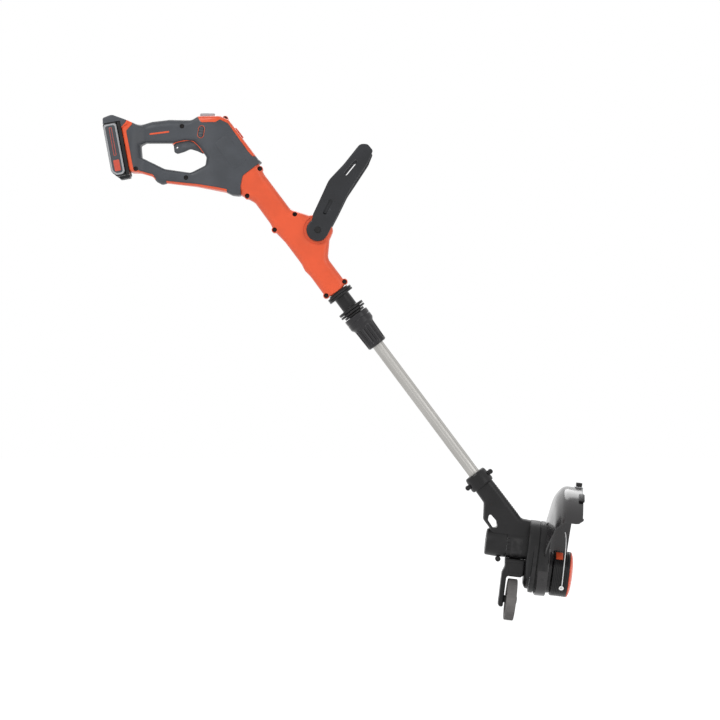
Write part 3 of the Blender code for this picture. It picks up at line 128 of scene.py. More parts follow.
def evenly(outline, count, closed=True):
    # as many points as count, the same length of line apart
    line = np.vstack((outline, outline[:1])) if closed else outline
    reach = np.concatenate(([0.0], np.cumsum(np.hypot(*np.diff(line, axis=0).T))))
    at = np.linspace(0, reach[-1], count, endpoint=not closed)
    return np.stack((np.interp(at, reach, line[:, 0]), np.interp(at, reach, line[:, 1])), 1)


def densely(outline, spacing):
    # the outline with more points on its stretches longer than the spacing
    dense = [outline[:1]]
    for here, following in zip(outline[:-1], outline[1:]):
        count = max(1, int(np.hypot(*(following - here)) / spacing))
        dense.append(here + (following - here) * np.linspace(0, 1, count + 1)[1:, None])
    return np.concatenate(dense)


def rectangle(left, right, low, high, corner=0.0):
    # four corners, each with the same radius
    return (left, low, corner), (right, low, corner), (right, high, corner), (left, high, corner)


def slotOutline(x, y, length, width, turn=0.0, count=14):
    # two half circles joined by straight sides
    turn = math.radians(turn)
    angle = np.linspace(-math.pi / 2, math.pi / 2, count)
    half = (length - width) / 2
    cap = np.stack((half + np.cos(angle) * width / 2, np.sin(angle) * width / 2), 1)
    outline = np.vstack((cap, -cap))
    along, side = np.array((math.cos(turn), math.sin(turn))), np.array((-math.sin(turn), math.cos(turn)))
    return np.array((x, y)) + outline[:, :1] * along + outline[:, 1:] * side


def grownSlot(slot, grow, count=14):
    # a slot outline that much longer and wider
    x, y, length, width, turn = slot
    return slotOutline(x, y, length + grow, width + grow, turn, count)


def anticlockwise(outline):
    # turned round where twice its area, the sum of the cross products of its corners, is below zero
    area = np.sum(outline[:, 0] * np.roll(outline[:, 1], -1) - outline[:, 1] * np.roll(outline[:, 0], -1))
    return outline if area > 0 else outline[::-1]


def inwardOf(outline):
    # the way in from each corner, as long as moves both its sides in by one
    ahead = np.roll(outline, -1, 0) - outline
    ahead /= np.maximum(np.hypot(*ahead.T), 1e-9)[:, None]
    left = np.stack((-ahead[:, 1], ahead[:, 0]), 1)
    inward = left + np.roll(left, 1, 0)
    return inward / np.maximum(np.sum(inward * inward, 1) / 2, 0.5)[:, None]


def plate(outline, half, edge=0.0, where="world", facing="y", middle=0.0, steps=4, bend=None):
    # an outline with a thickness, drawn in at its rims by edge * (1 - cosine) where it has risen by
    # edge * sine; facing says which way the thickness goes, and bend lays the second side round the
    # spindle at that radius
    outline = anticlockwise(roundedOutline(outline) if isinstance(outline, tuple) else outline)
    lift = np.radians(np.linspace(0, 90, steps + 1)) if edge > 0 else np.array([0.0])
    inset, height = edge * (1 - np.cos(lift)), half - edge + edge * np.sin(lift)
    inset, height = np.concatenate((inset[::-1], inset)), np.concatenate((-height[::-1], height))
    flat = outline[None] + inwardOf(outline)[None] * inset[:, None, None]
    first, second = flat[..., 0], flat[..., 1]
    height = np.broadcast_to(height[:, None], first.shape) + middle
    if bend:
        radius, turn = bend
        angle = second / radius + math.radians(turn)
        reach = radius + height
        return skin(np.dstack((first, -reach * np.sin(angle), reach * np.cos(angle))), where)
    order = {"y": (first, height, second), "x": (height, first, second), "z": (first, second, height)}
    return skin(np.dstack(order[facing]), where)


def grownPrism(corners, grow=0.0, where="world", reach=70.0):
    # a prism through the whole width over an outline, moved out by grow all round
    outline = anticlockwise(roundedOutline(corners))
    return plate(outline - grow * inwardOf(outline), reach, 0.0, where)


def turned(profile, where="world", axis="x", at=(0.0, 0.0), steps=96, wave=None, closed=True):
    # the profile of (along, radius) carried round the axis; wave(along, angle) is added to the radius
    profile = roundedOutline(profile, closed, 15.0) if len(profile[0]) == 3 else np.array(profile, float)
    along, radius = profile[:, :1], profile[:, 1:]
    angle = np.linspace(0, 2 * math.pi, steps, endpoint=False)[None]
    if wave:
        radius = radius + wave(along, angle) * (radius > 0)
    along, radius, angle = np.broadcast_arrays(along, radius, angle)
    side, up = at[0] + radius * np.sin(angle), at[1] + radius * np.cos(angle)
    order = {"x": (along, side, up), "y": (side, along, up), "z": (side, up, along)}
    return skin(np.dstack(order[axis]), where, closeRows=closed, caps=False)


def rod(radius, start, end, where="world", axis="y", at=(0.0, 0.0), steps=48, edge=0.0):
    # a cylinder between two places, its rims rounded by edge
    profile = ((start, 0, 0), (start, radius, edge), (end, radius, edge), (end, 0, 0))
    return turned(profile, where, axis, at, steps, closed=False)


def block(x, y, z, where="world", edge=0.0):
    # a box between two places each way: a rectangle with a thickness
    return plate(rectangle(*x, *z, edge), (y[1] - y[0]) / 2, edge * 0.8, where, "y", (y[0] + y[1]) / 2)


def sectionRing(low, high, half, corner, faceSteps=6, arcSteps=7):
    # a rounded rectangle at each place along a body: four quarter circles, with straight runs between them
    arc = np.linspace(0, math.pi / 2, arcSteps)[None]
    share = np.linspace(0, 1, faceSteps)[1:-1]
    low, high, half, corner = (np.asarray(value, float)[:, None] for value in (low, high, half, corner))
    arcs = []
    for side, up, turn in ((1, 1, arc[:, ::-1]), (-1, 1, arc), (-1, -1, arc[:, ::-1]), (1, -1, arc)):
        middle = high - corner if up > 0 else low + corner
        width = side * (half - corner + corner * np.sin(turn))
        arcs.append(np.stack((width, middle + up * (corner * np.cos(turn)))))
    stretches = []
    for here, following in zip(arcs, arcs[1:] + arcs[:1]):
        stretches += [here, here[..., -1:] + (following[..., :1] - here[..., -1:]) * share]
    return np.concatenate(stretches, -1)


def loft(along, low, high, half, corner, where, endRound):
    # a rounded section at each place along the body; the ends draw in like a quarter circle
    lift = np.radians(np.linspace(0, 80, 6))[::-1]
    extra = endRound * (1 - np.sin(lift))
    draw = endRound * (1 - np.sqrt(1 - (1 - extra / endRound) ** 2))
    first, last = along[0] + extra, along[-1] - extra[::-1]
    inner = (along > first[-1]) & (along < last[0])
    whole = np.concatenate((first, along[inner], last))
    drawn = np.concatenate((draw, np.zeros(inner.sum()), draw[::-1]))
    low, high, half, corner = (np.interp(whole, along, value) for value in (low, high, half, corner))
    low, high, half = low + drawn, high - drawn, half - drawn
    corner = np.minimum(corner, np.minimum(half, (high - low) / 2) * 0.98)
    width, height = sectionRing(low, high, half, corner)
    return skin(np.dstack((np.broadcast_to(whole[:, None], width.shape), width, height)), where)


def sweep(path, radius, where="world", sides=16):
    # a round section carried along the path, each one square to the path there, with rounded ends
    path = np.array(path, float)
    reach = np.concatenate(([0.0], np.cumsum(np.linalg.norm(np.diff(path, axis=0), axis=1))))
    ahead = np.gradient(path, reach, axis=0)
    ahead /= np.linalg.norm(ahead, axis=1)[:, None]
    side = np.cross(ahead, np.array((0.31, 0.07, 0.95)))  # any direction that no path runs along
    side /= np.linalg.norm(side, axis=1)[:, None]
    up = np.cross(side, ahead)
    radius = np.broadcast_to(np.asarray(radius, float), (len(path),)).copy()
    lift = np.radians((90, 60, 30))
    capStart = path[0] - ahead[0] * radius[0] * np.sin(lift)[:, None]
    capEnd = path[-1] + ahead[-1] * radius[-1] * np.sin(lift[::-1])[:, None]
    path = np.vstack((capStart, path, capEnd))
    radii = np.concatenate((radius[0] * np.cos(lift), radius, radius[-1] * np.cos(lift[::-1])))
    side, up = (np.vstack((way[:1].repeat(3, 0), way, way[-1:].repeat(3, 0)))[:, None] for way in (side, up))
    angle = np.linspace(0, 2 * math.pi, sides, endpoint=False)[None, :, None]
    circle = np.cos(angle) * side + np.sin(angle) * up
    return skin(path[:, None] + radii[:, None, None] * circle, where, caps=False)


def smoothCurve(points, count):
    # Catmull-Rom: a cubic through the points whose slope at each is half the step between its neighbours
    points = np.array(points, float)
    ends = np.vstack((2 * points[0] - points[1], points, 2 * points[-1] - points[-2]))
    at = np.linspace(0, len(points) - 1 - 1e-9, count)
    index = at.astype(int)
    share = (at - index)[:, None]
    a, b, c, d = (ends[index + step] for step in range(4))
    return 0.5 * (2 * b + (c - a) * share + (2 * a - 5 * b + 4 * c - d) * share ** 2
                  + (3 * b - a - 3 * c + d) * share ** 3)


def rise(x, start, end):
    # from 0 to 1 between the two places, level at both
    share = np.clip((np.asarray(x, float) - start) / (end - start), 0, 1)
    return share * share * (3 - 2 * share)


def carve(piece, *tools, how="DIFFERENCE"):
    # one Boolean for each tool, applied at once
    for tool in tools:
        for solver in ("MANIFOLD", "EXACT"):
            boolean = piece.modifiers.new("carve", "BOOLEAN")
            boolean.operation, boolean.solver, boolean.object = how, solver, tool
            graph = bpy.context.evaluated_depsgraph_get()
            mesh = bpy.data.meshes.new_from_object(piece.evaluated_get(graph))
            piece.modifiers.clear()
            if len(mesh.polygons):
                break
        piece.data = mesh
        bpy.data.objects.remove(tool, do_unlink=True)
    return piece


def join(piece, *tools):
    # the piece with the tools added to it
    return carve(piece, *tools, how="UNION")


def keep(piece, tool):
    # only what lies inside the tool
    return carve(piece, tool, how="INTERSECT")


def copied(piece):
    return linked(piece.data.copy())


def seamTool(piece, side):
    # a slab beyond the parting line; its face there is in small squares, so that the cut's faces stay
    # simple round holes
    corners = np.array([corner[:] for corner in piece.bound_box])
    middle, size = (corners.min(0) + corners.max(0)) / 2, np.ptp(corners, axis=0) + 0.01
    place = Matrix.Translation((middle[0], (seam["place"] - side * seam["gap"] / 2) * mm, middle[2]))
    place = place @ Matrix.Rotation(math.pi / 2, 4, "X") @ Matrix.Diagonal((size[0], size[2], 1, 1))
    square = seam["square"] * mm
    shell = bmesh.new()
    bmesh.ops.create_grid(shell, x_segments=int(size[0] / square), y_segments=int(size[2] / square), size=0.5,
                          matrix=place)
    grown = bmesh.ops.extrude_face_region(shell, geom=shell.faces[:])["geom"]
    moved = [item for item in grown if isinstance(item, bmesh.types.BMVert)]
    bmesh.ops.translate(shell, verts=moved, vec=(0, side * seam["depth"] * mm, 0))
    return fromShell(shell)


def dress(piece, name, finish, body, *nodes, slotName=None, sharp=30):
    # a finished piece: its name, its finish, the body that it rides on and the nodes that it replaces
    piece.name = name
    piece.data.name = piece.name
    piece.data.materials.clear()
    piece.data.materials.append(finishes[finish])
    piece.data.shade_smooth()
    piece.data.set_sharp_from_angle(angle=math.radians(sharp))
    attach(piece, body)
    if nodes:
        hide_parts(*nodes)


def dressHalves(piece, name, finish, body, node):
    # the near and the far moulded half, a fine gap apart
    for tag, side in (("Near", 1), ("Far", -1)):
        half = carve(copied(piece), seamTool(piece, side))
        dress(half, name + tag, finish, body, f"{node}_{tag.lower()}")
    bpy.data.objects.remove(piece, do_unlink=True)


# Finishes

def newGroup(name, amounts, results):
    # a group of nodes that takes a vector and the named amounts and gives the named results
    group = bpy.data.node_groups.new(name, "ShaderNodeTree")
    group.interface.new_socket("Vector", in_out="INPUT", socket_type="NodeSocketVector")
    for label, value in amounts.items():
        group.interface.new_socket(label, in_out="INPUT", socket_type="NodeSocketFloat").default_value = value
    for label in results:
        group.interface.new_socket(label, in_out="OUTPUT", socket_type="NodeSocketFloat")
    return group, group.nodes.new("NodeGroupInput").outputs, group.nodes.new("NodeGroupOutput").inputs


def addNode(tree, kind, settings=None, **inputs):
    # inputs are values or sockets, each by its name or, as in n0, by its number
    item = tree.nodes.new(kind)
    for label, value in (settings or {}).items():
        setattr(item, label, value)
    for label, value in inputs.items():
        byNumber = label[0] == "n" and label[1:].isdigit()
        socket = item.inputs[int(label[1:]) if byNumber else label]
        if isinstance(value, bpy.types.NodeSocket):
            tree.links.new(value, socket)
        else:
            socket.default_value = value
    return item


def maths(tree, what, first, second=0.0, third=0.0):
    return addNode(tree, "ShaderNodeMath", {"operation": what}, n0=first, n1=second, n2=third).outputs[0]


def ranged(tree, value, low, high, newLow=0.0, newHigh=1.0):
    ends = {"From Min": low, "From Max": high, "To Min": newLow, "To Max": newHigh}
    item = addNode(tree, "ShaderNodeMapRange", {"interpolation_type": "SMOOTHSTEP"}, Value=value, **ends)
    return item.outputs["Result"]


def noise(tree, vector, scale, detail):
    return addNode(tree, "ShaderNodeTexNoise", Vector=vector, Scale=scale, Detail=detail).outputs["Fac"]


def blended(tree, share, first, second):
    return addNode(tree, "ShaderNodeMix", {"data_type": "RGBA"}, n0=share, n6=first, n7=second).outputs[2]


def bumped(tree, shader, height, strength, distance):
    # the height into the shader's normal
    bump = addNode(tree, "ShaderNodeBump", Height=height, Strength=strength, Distance=distance)
    tree.links.new(bump.outputs[0], shader.inputs["Normal"])


def shade(colour, factor):
    # a colour times the factor, with full opacity
    return (*(min(1.0, value * factor) for value in colour), 1.0)


def mouldedGrain():
    # fine spark-eroded pits with a slow mottle: the pits are a Voronoi's distance, the mottle is noise
    group, given, made = newGroup("mouldedGrain", {"Pits": 900.0, "Mottle": 35.0}, ("Height", "Shade"))
    vector, size = given["Vector"], given["Pits"]
    pits = addNode(group, "ShaderNodeTexVoronoi", Vector=vector, Scale=size).outputs["Distance"]
    fine = maths(group, "MULTIPLY", noise(group, vector, size, 2.0), 0.6)
    height = maths(group, "MULTIPLY_ADD", pits, 0.6, fine)
    group.links.new(height, made["Height"])
    group.links.new(ranged(group, noise(group, vector, given["Mottle"], 5.0), 0.3, 0.7), made["Shade"])
    return group


def handlingWear():
    # edges rubbed lighter where the surface is convex, broken by noise, and thin stray scratches
    group, given, made = newGroup("handlingWear", {"Amount": 0.5}, ("Rubbed", "Scratch"))
    vector, amount = given["Vector"], given["Amount"]
    convex = addNode(group, "ShaderNodeNewGeometry").outputs["Pointiness"]
    patches = ranged(group, noise(group, vector, 90.0, 4.0), 0.35, 0.65)
    edge = maths(group, "MULTIPLY", ranged(group, convex, 0.51, 0.6), patches)
    laid = addNode(group, "ShaderNodeMapping", Vector=vector, Rotation=(0.4, 0.7, 0.2),
                   Scale=(6.0, 90.0, 260.0))
    scratch = ranged(group, noise(group, laid.outputs[0], 4.0, 3.0), 0.66, 0.74)
    group.links.new(maths(group, "MULTIPLY", edge, amount), made["Rubbed"])
    group.links.new(maths(group, "MULTIPLY", scratch, amount), made["Scratch"])
    return group


def drawnLines():
    # long fine lines, as noise stretched along the first coordinate
    group, given, made = newGroup("drawnLines", {"Fineness": 900.0}, ("Height", "Shade"))
    laid = addNode(group, "ShaderNodeMapping", Vector=given["Vector"], Scale=(0.012, 1.0, 1.0)).outputs[0]
    group.links.new(noise(group, laid, given["Fineness"], 3.0), made["Height"])
    group.links.new(ranged(group, noise(group, given["Vector"], 14.0, 3.0), 0.3, 0.7), made["Shade"])
    return group


effects = {"grain": mouldedGrain(), "wear": handlingWear(), "lines": drawnLines()}

plasticTerms = ("colour", "worn", "mottle", "rough", "pits", "bump", "wear", "coat", "gloss", "slot")
plastics = {
    "greyShell": (
        (0.052, 0.057, 0.066), (0.15, 0.155, 0.17), 0.12, 0.46, 1100, 0.16, 0.5, 0, 0.5, "grey_shell"),
    "blackPlastic": (
        (0.0115, 0.011, 0.0115), (0.06, 0.057, 0.057), 0.22, 0.36, 1000, 0.14, 0.55, 0, 0.3, "black_plastic"),
    "guardPlastic": (
        (0.016, 0.014, 0.015), (0.08, 0.075, 0.075), 0.12, 0.22, 700, 0.04, 0.4, 0.5, 0.3, "black_plastic"),
    "softGrip": (
        (0.0215, 0.0225, 0.0255), (0.08, 0.082, 0.09), 0.14, 0.4, 800, 0.2, 0.5, 0, 0.34, "black_plastic"),
    "orangePlastic": (
        (0.86, 0.105, 0.03), (0.93, 0.24, 0.12), 0.05, 0.36, 900, 0.07, 0.4, 0, 0.5, "orange_plastic"),
    "capOrange": (
        (0.9, 0.115, 0.045), (0.95, 0.3, 0.2), 0.05, 0.3, 800, 0.05, 0.5, 0.15, 0.5, "orange_plastic"),
    "lightGrey": (
        (0.46, 0.46, 0.47), (0.6, 0.6, 0.6), 0.06, 0.42, 900, 0.1, 0.4, 0, 0.5, "light_grey_plastic"),
    "rimSilver": (
        (0.37, 0.375, 0.385), (0.5, 0.5, 0.5), 0.08, 0.34, 900, 0.06, 0.4, 0.2, 0.5, "light_grey_plastic"),
    "labelRed": (
        (0.62, 0.075, 0.04), (0.8, 0.3, 0.2), 0.06, 0.38, 1200, 0.03, 0.3, 0.2, 0.5, "orange_plastic"),
    "wheelPlastic": (
        (0.155, 0.146, 0.14), (0.26, 0.25, 0.24), 0.22, 0.78, 520, 0.42, 0.7, 0, 0.5, "wheel_plastic"),
    "collarBlack": (
        (0.011, 0.01, 0.012), (0.1, 0.095, 0.1), 0.18, 0.3, 900, 0.1, 0.7, 0.12, 0.36, "black_plastic"),
    "whiteLine": (
        (0.93, 0.93, 0.92), (0.9, 0.9, 0.9), 0.05, 0.35, 1500, 0.03, 0.1, 0, 0.5, "white_line"),
}


def newMaterial(name):
    material = bpy.data.materials.new(name)
    material.use_nodes = True
    tree = material.node_tree
    where = addNode(tree, "ShaderNodeTexCoord").outputs["Object"]
    return material, tree, tree.nodes["Principled BSDF"], where


def makePlastic(name, look):
    # a colour with a slow mottle, lighter where it is rubbed or scratched, under moulded grain
    material, tree, shader, where = newMaterial(name)
    grain = addNode(tree, "ShaderNodeGroup", {"node_tree": effects["grain"]}, Vector=where,
                    Pits=look["pits"], Mottle=30.0)
    wear = addNode(tree, "ShaderNodeGroup", {"node_tree": effects["wear"]}, Vector=where, Amount=look["wear"])
    shades = [shade(look["colour"], 1 + sign * look["mottle"]) for sign in (-1, 1)]
    mottled = blended(tree, grain.outputs["Shade"], *shades)
    scratch = wear.outputs["Scratch"]
    rubbed = maths(tree, "MAXIMUM", wear.outputs["Rubbed"], maths(tree, "MULTIPLY", scratch, 0.35))
    tree.links.new(blended(tree, rubbed, mottled, (*look["worn"], 1.0)), shader.inputs["Base Color"])
    rough = ranged(tree, grain.outputs["Shade"], 0.0, 1.0, look["rough"] - 0.05, look["rough"] + 0.06)
    tree.links.new(maths(tree, "MULTIPLY_ADD", scratch, -0.06, rough), shader.inputs["Roughness"])
    bumped(tree, shader, grain.outputs["Height"], look["bump"], 0.00035)
    shader.inputs["Specular IOR Level"].default_value = look["gloss"]
    if look["coat"] > 0:
        shader.inputs["Coat Weight"].default_value = look["coat"]
        shader.inputs["Coat Roughness"].default_value = 0.12
    return material


# The turn about Y lays the lines along the piece
metalTerms = ("colour", "rough", "fineness", "turn", "bump", "slot")
metals = {
    "tubeMetal": ((0.45, 0.44, 0.42), 0.44, 260.0, -53.2, 0.0, "tube_metal"),
    "steel": ((0.42, 0.42, 0.43), 0.34, 2600.0, 0.0, 0.08, "steel"),
    "darkSteel": ((0.032, 0.030, 0.030), 0.42, 2600.0, 0.0, 0.08, "steel"),
    "cellMetal": ((0.62, 0.62, 0.63), 0.30, 2000.0, 0.0, 0.05, "steel"),
    "eyeletMetal": ((0.80, 0.80, 0.79), 0.24, 2600.0, 0.0, 0.04, "steel"),
}


def makeMetal(name, look):
    # a metal whose colour and roughness follow fine drawn lines
    material, tree, shader, where = newMaterial(name)
    shader.inputs["Metallic"].default_value = 1.0
    turn = (0.0, math.radians(look["turn"]), 0.0)
    laid = addNode(tree, "ShaderNodeMapping", Vector=where, Rotation=turn).outputs[0]
    lines = addNode(tree, "ShaderNodeGroup", {"node_tree": effects["lines"]}, Vector=laid,
                    Fineness=look["fineness"])
    shades = [shade(look["colour"], factor) for factor in (0.84, 1.12)]
    tree.links.new(blended(tree, lines.outputs["Height"], *shades), shader.inputs["Base Color"])
    rough = ranged(tree, lines.outputs["Shade"], 0.0, 1.0, look["rough"] - 0.05, look["rough"] + 0.08)
    tree.links.new(rough, shader.inputs["Roughness"])
    bumped(tree, shader, lines.outputs["Height"], look["bump"], 0.0002)
    return material


finishes, slots = {}, {}
for make, terms, table in ((makePlastic, plasticTerms, plastics), (makeMetal, metalTerms, metals)):
    for name, row in table.items():
        look = dict(zip(terms, row))
        finishes[name], slots[name] = make(name, look), look["slot"]
print("finishes made:", len(finishes))

# Camera

cameraLook = {"place": (0.374, -5.5, -0.405), "lens": 147.06, "sensor": 36.0}
camera = linked(bpy.data.cameras.new("camera"), "camera")
camera.location = cameraLook["place"]
camera.rotation_euler = (math.radians(90), 0.0, 0.0)
camera.data.lens, camera.data.sensor_width = cameraLook["lens"], cameraLook["sensor"]
camera.data.clip_end = 60.0
bpy.context.scene.camera = camera

# Cutting line

lineLook = {
    "diameter": 1.65,
    "route": (
        (25.3, -36.6, -24.8), (25.3, -40, -25.6), (25.2, -42.7, -24.2), (25.2, -44, -21.5),
        (25.2, -44.8, -17), (25.1, -45.3, -9), (25, -45.8, 0), (24.8, -46.3, 10), (24.6, -46.8, 20),
        (24.4, -47.2, 30), (24.1, -47.7, 40), (23.6, -48.1, 50), (22.9, -48.5, 60), (21.8, -48.9, 69),
        (20.2, -49.2, 76), (18.3, -49.4, 81)),
}


def makeLine():
    # a smooth curve through the route, with a round section carried along it
    route = smoothCurve(lineLook["route"], 70)
    piece = sweep(route[1:-1], lineLook["diameter"] / 2, "head", 12)
    dress(piece, "cuttingLine", "whiteLine", "spool", "trimmer_line")


makeLine()

# Floor, backdrop light and lamps

studio = {"floor": -0.8935, "reach": 9.0, "worldLight": 0.50, "floorShare": 0.26, "whiteGlow": 1.30,
          "lamps": (("key", (-1.6, -2.6, 1.9), (0.35, 0.0, -0.4), 2.2, 51.0),
                    ("fill", (2.9, -2.4, 0.3), (0.4, 0.0, -0.5), 2.4, 21.0),
                    ("back", (0.6, 2.6, 1.8), (0.4, 0.0, -0.4), 2.2, 30.0))}


def whiteForView(tree, ground):
    # plain white for the camera and for reflections and glass; the light itself everywhere else
    path = addNode(tree, "ShaderNodeLightPath")
    seen = maths(tree, "MAXIMUM", path.outputs["Is Camera Ray"],
                 maths(tree, "MAXIMUM", path.outputs["Is Glossy Ray"], path.outputs["Is Transmission Ray"]))
    return addNode(tree, "ShaderNodeMixShader", n0=seen, n1=ground[0], n2=ground[1]).outputs[0]


def makeStudio():
    scene = bpy.context.scene
    scene.world = bpy.data.worlds.new("studio")
    scene.world.use_nodes = True
    tree = scene.world.node_tree
    dim = addNode(tree, "ShaderNodeBackground", Color=(0.95, 0.97, 1.0, 1.0), Strength=studio["worldLight"])
    bright = addNode(tree, "ShaderNodeBackground", Color=(1.0, 1.0, 1.0, 1.0), Strength=1.0)
    lit = whiteForView(tree, (dim.outputs[0], bright.outputs[0]))
    tree.links.new(lit, tree.nodes["World Output"].inputs[0])

    material = bpy.data.materials.new("studioFloor")
    material.use_nodes = True
    tree = material.node_tree
    tree.nodes.remove(tree.nodes["Principled BSDF"])
    paper = addNode(tree, "ShaderNodeBsdfDiffuse", Color=(0.92, 0.92, 0.92, 1.0)).outputs[0]
    glow = addNode(tree, "ShaderNodeEmission", Color=(1.0, 1.0, 1.0, 1.0),
                   Strength=studio["whiteGlow"]).outputs[0]
    veiled = addNode(tree, "ShaderNodeMixShader", n0=1 - studio["floorShare"], n1=paper, n2=glow).outputs[0]
    tree.links.new(whiteForView(tree, (paper, veiled)), tree.nodes["Material Output"].inputs["Surface"])
    reach = studio["reach"] / mm
    corners = [(x, y, studio["floor"] / mm) for x, y, _ in rectangle(-reach, reach, -reach, reach)]
    floor = makePiece(corners, [[0, 1, 2, 3]])
    floor.name = floor.data.name = "studioFloor"
    floor.data.materials.append(material)

    for name, place, goal, size, power in studio["lamps"]:
        lamp = linked(bpy.data.lights.new(name, "AREA"), name)
        lamp.data.shape, lamp.data.size, lamp.data.energy = "DISK", size, power
        lamp.location = place
        across, away, up = np.array(goal) - np.array(place)
        tilt, heading = math.atan2(math.hypot(across, away), -up), math.atan2(away, across) - math.pi / 2
        lamp.rotation_euler = (tilt, 0.0, heading)
    scene.view_settings.view_transform = "Standard"


makeStudio()
print("camera, line and studio ready")


# Rear handle

handleLook = {
    "centre": (25, -25), "edgeGrip": 13, "edgeDock": 5, "edgeFront": 9.5, "edgeLoop": 8,
    "outline": (
        (-55.4, -54.5, 7), (-72.5, 38, 7), (-64, 43.5, 8), (-38, 32.5, 26), (-14, 40, 30), (18, 43.7, 30),
        (60, 43, 15), (72, 50, 8), (113, 50, 8), (129, 43, 12), (184.5, -31, 7.5), (198, -42, 7.5),
        (190, -70, 10), (150, -99, 9), (136, -97.5, 9), (124, -91.5, 12), (70, -81.5, 20), (14, -75, 10),
        (5, -78, 8), (-6, -72, 10), (-13, -62.5, 10), (-34, -56.5, 10)),
    "loop": (
        (-35, -5, 4), (-25, 0, 6), (28, 0, 6), (46, 4.5, 10), (63, 3, 6), (75, -9, 8), (88, -27, 6),
        (86, -42, 6), (58, -55.5, 14), (10, -48.5, 16), (-33, -27.5, 4)),
    "hood": (
        (-104.7, 45, 4), (-88, 51.5, 12), (-60, 41.5, 10), (-56, 36, 3), (-70, 26, 3), (-73.5, 30, 0),
        (-104.3, 28, 0)),
    "spine": (
        (66, 60, 0), (73.5, 44, 0), (78, 38, 4), (105, 38, 5), (113, 43, 4), (128, 36, 8), (166, -17, 6),
        (174, -25.5, 3), (192, -26, 0), (192, 60, 0)),
    "lowerTrim": ((13, -71, 0), (14.5, -90, 0), (126, -110, 0), (126, -87, 0), (110, -84, 6), (70, -77, 6)),
    "dockBand": (
        (-50, -70, 0), (-80, -64, 0), (-80, 20, 0), (-71.5, 26, 0), (-61, 38, 0), (-60, 60, 0),
        (-54, 60, 0), (-50, 34, 2), (-61, 21.5, 3), (-48, -48.5, 3), (-36, -52.6, 4), (-12.5, -58.8, 4),
        (-7.5, -66.5, 0), (-10, -80, 0)),
    "triggerSlot": ((24.8, -12, 0), (24.8, 14, 0), (82, 14, 0), (85, -25, 0), (60, -25, 0)),
    "housing": (
        (-556, 90, 0), (-556, -13, 8), (-543, -28, 10), (-526, -40, 0), (-520, -80, 0), (-100, -80, 0),
        (-100, 90, 0)),
    "screws": ((42, 31), (49.5, -65), (-43.5, -49)),
    "badge": ((126.5, 15, 6), (102, -2, 6), (138.5, -51, 6), (164, -32.5, 6)),
    "accent": (0, 18.3, 37, 3.2, 7), "coverLug": (122.5, 45, 5.6), "screwDepth": 4,
    "coverScrew": ((-13.9, 0, 0), (-15.6, 0, 0), (-15.6, 3.4, 0.6), (-14.8, 4.5, 0.5), (-13.9, 4.5, 0)),
}
buttonLook = {
    "lock": (78, 20, 20.5, 9, 80), "lockProud": 1.5, "rimGrow": (1.7, 3.1, 3.1, 1.7),
    "rimLift": (0.6, 0.6, -1.2, -1.2),
    "feed": (89, 0, 28, 14, 0), "feedBase": 50.0, "slider": (-637, 24, 12, 16), "sliderBase": 28.6,
    "lever": (
        (26, -4, 2), (27.5, -17, 3), (33, -19.5, 3), (45, -16, 8), (57, -10.5, 8), (70, -14.5, 8),
        (81.5, -20, 2.5), (83, -15, 3), (82, 1, 5), (76, 8, 5), (55, 8.5, 4), (30, 5, 3)),
    "leverLine": (
        (25, -3.2, 0), (30, 0.3, 3), (40, 2.8, 6), (50, 4.3, 6), (58, 4.3, 6), (64, 1.8, 6), (70, -3.7, 4),
        (75, -8.7, 4), (79, -14.7, 4), (83.5, -19.5, 0)),
}


def handleHalf(x):
    # half the width along the handle: 31 at the dock, narrow at the grip, wider again in front
    return 31.0 - 13.5 * rise(x, -55, -25) + 9.5 * rise(x, 55, 105)


def radiusAt(outline, centre, turn):
    # how far the outline is from the centre in each direction
    dense = evenly(roundedOutline(outline), 6000) - np.array(centre)
    angle = np.arctan2(dense[:, 1], dense[:, 0])
    order = np.argsort(angle)
    return np.interp(turn, angle[order], np.hypot(*dense[order].T), period=2 * math.pi)


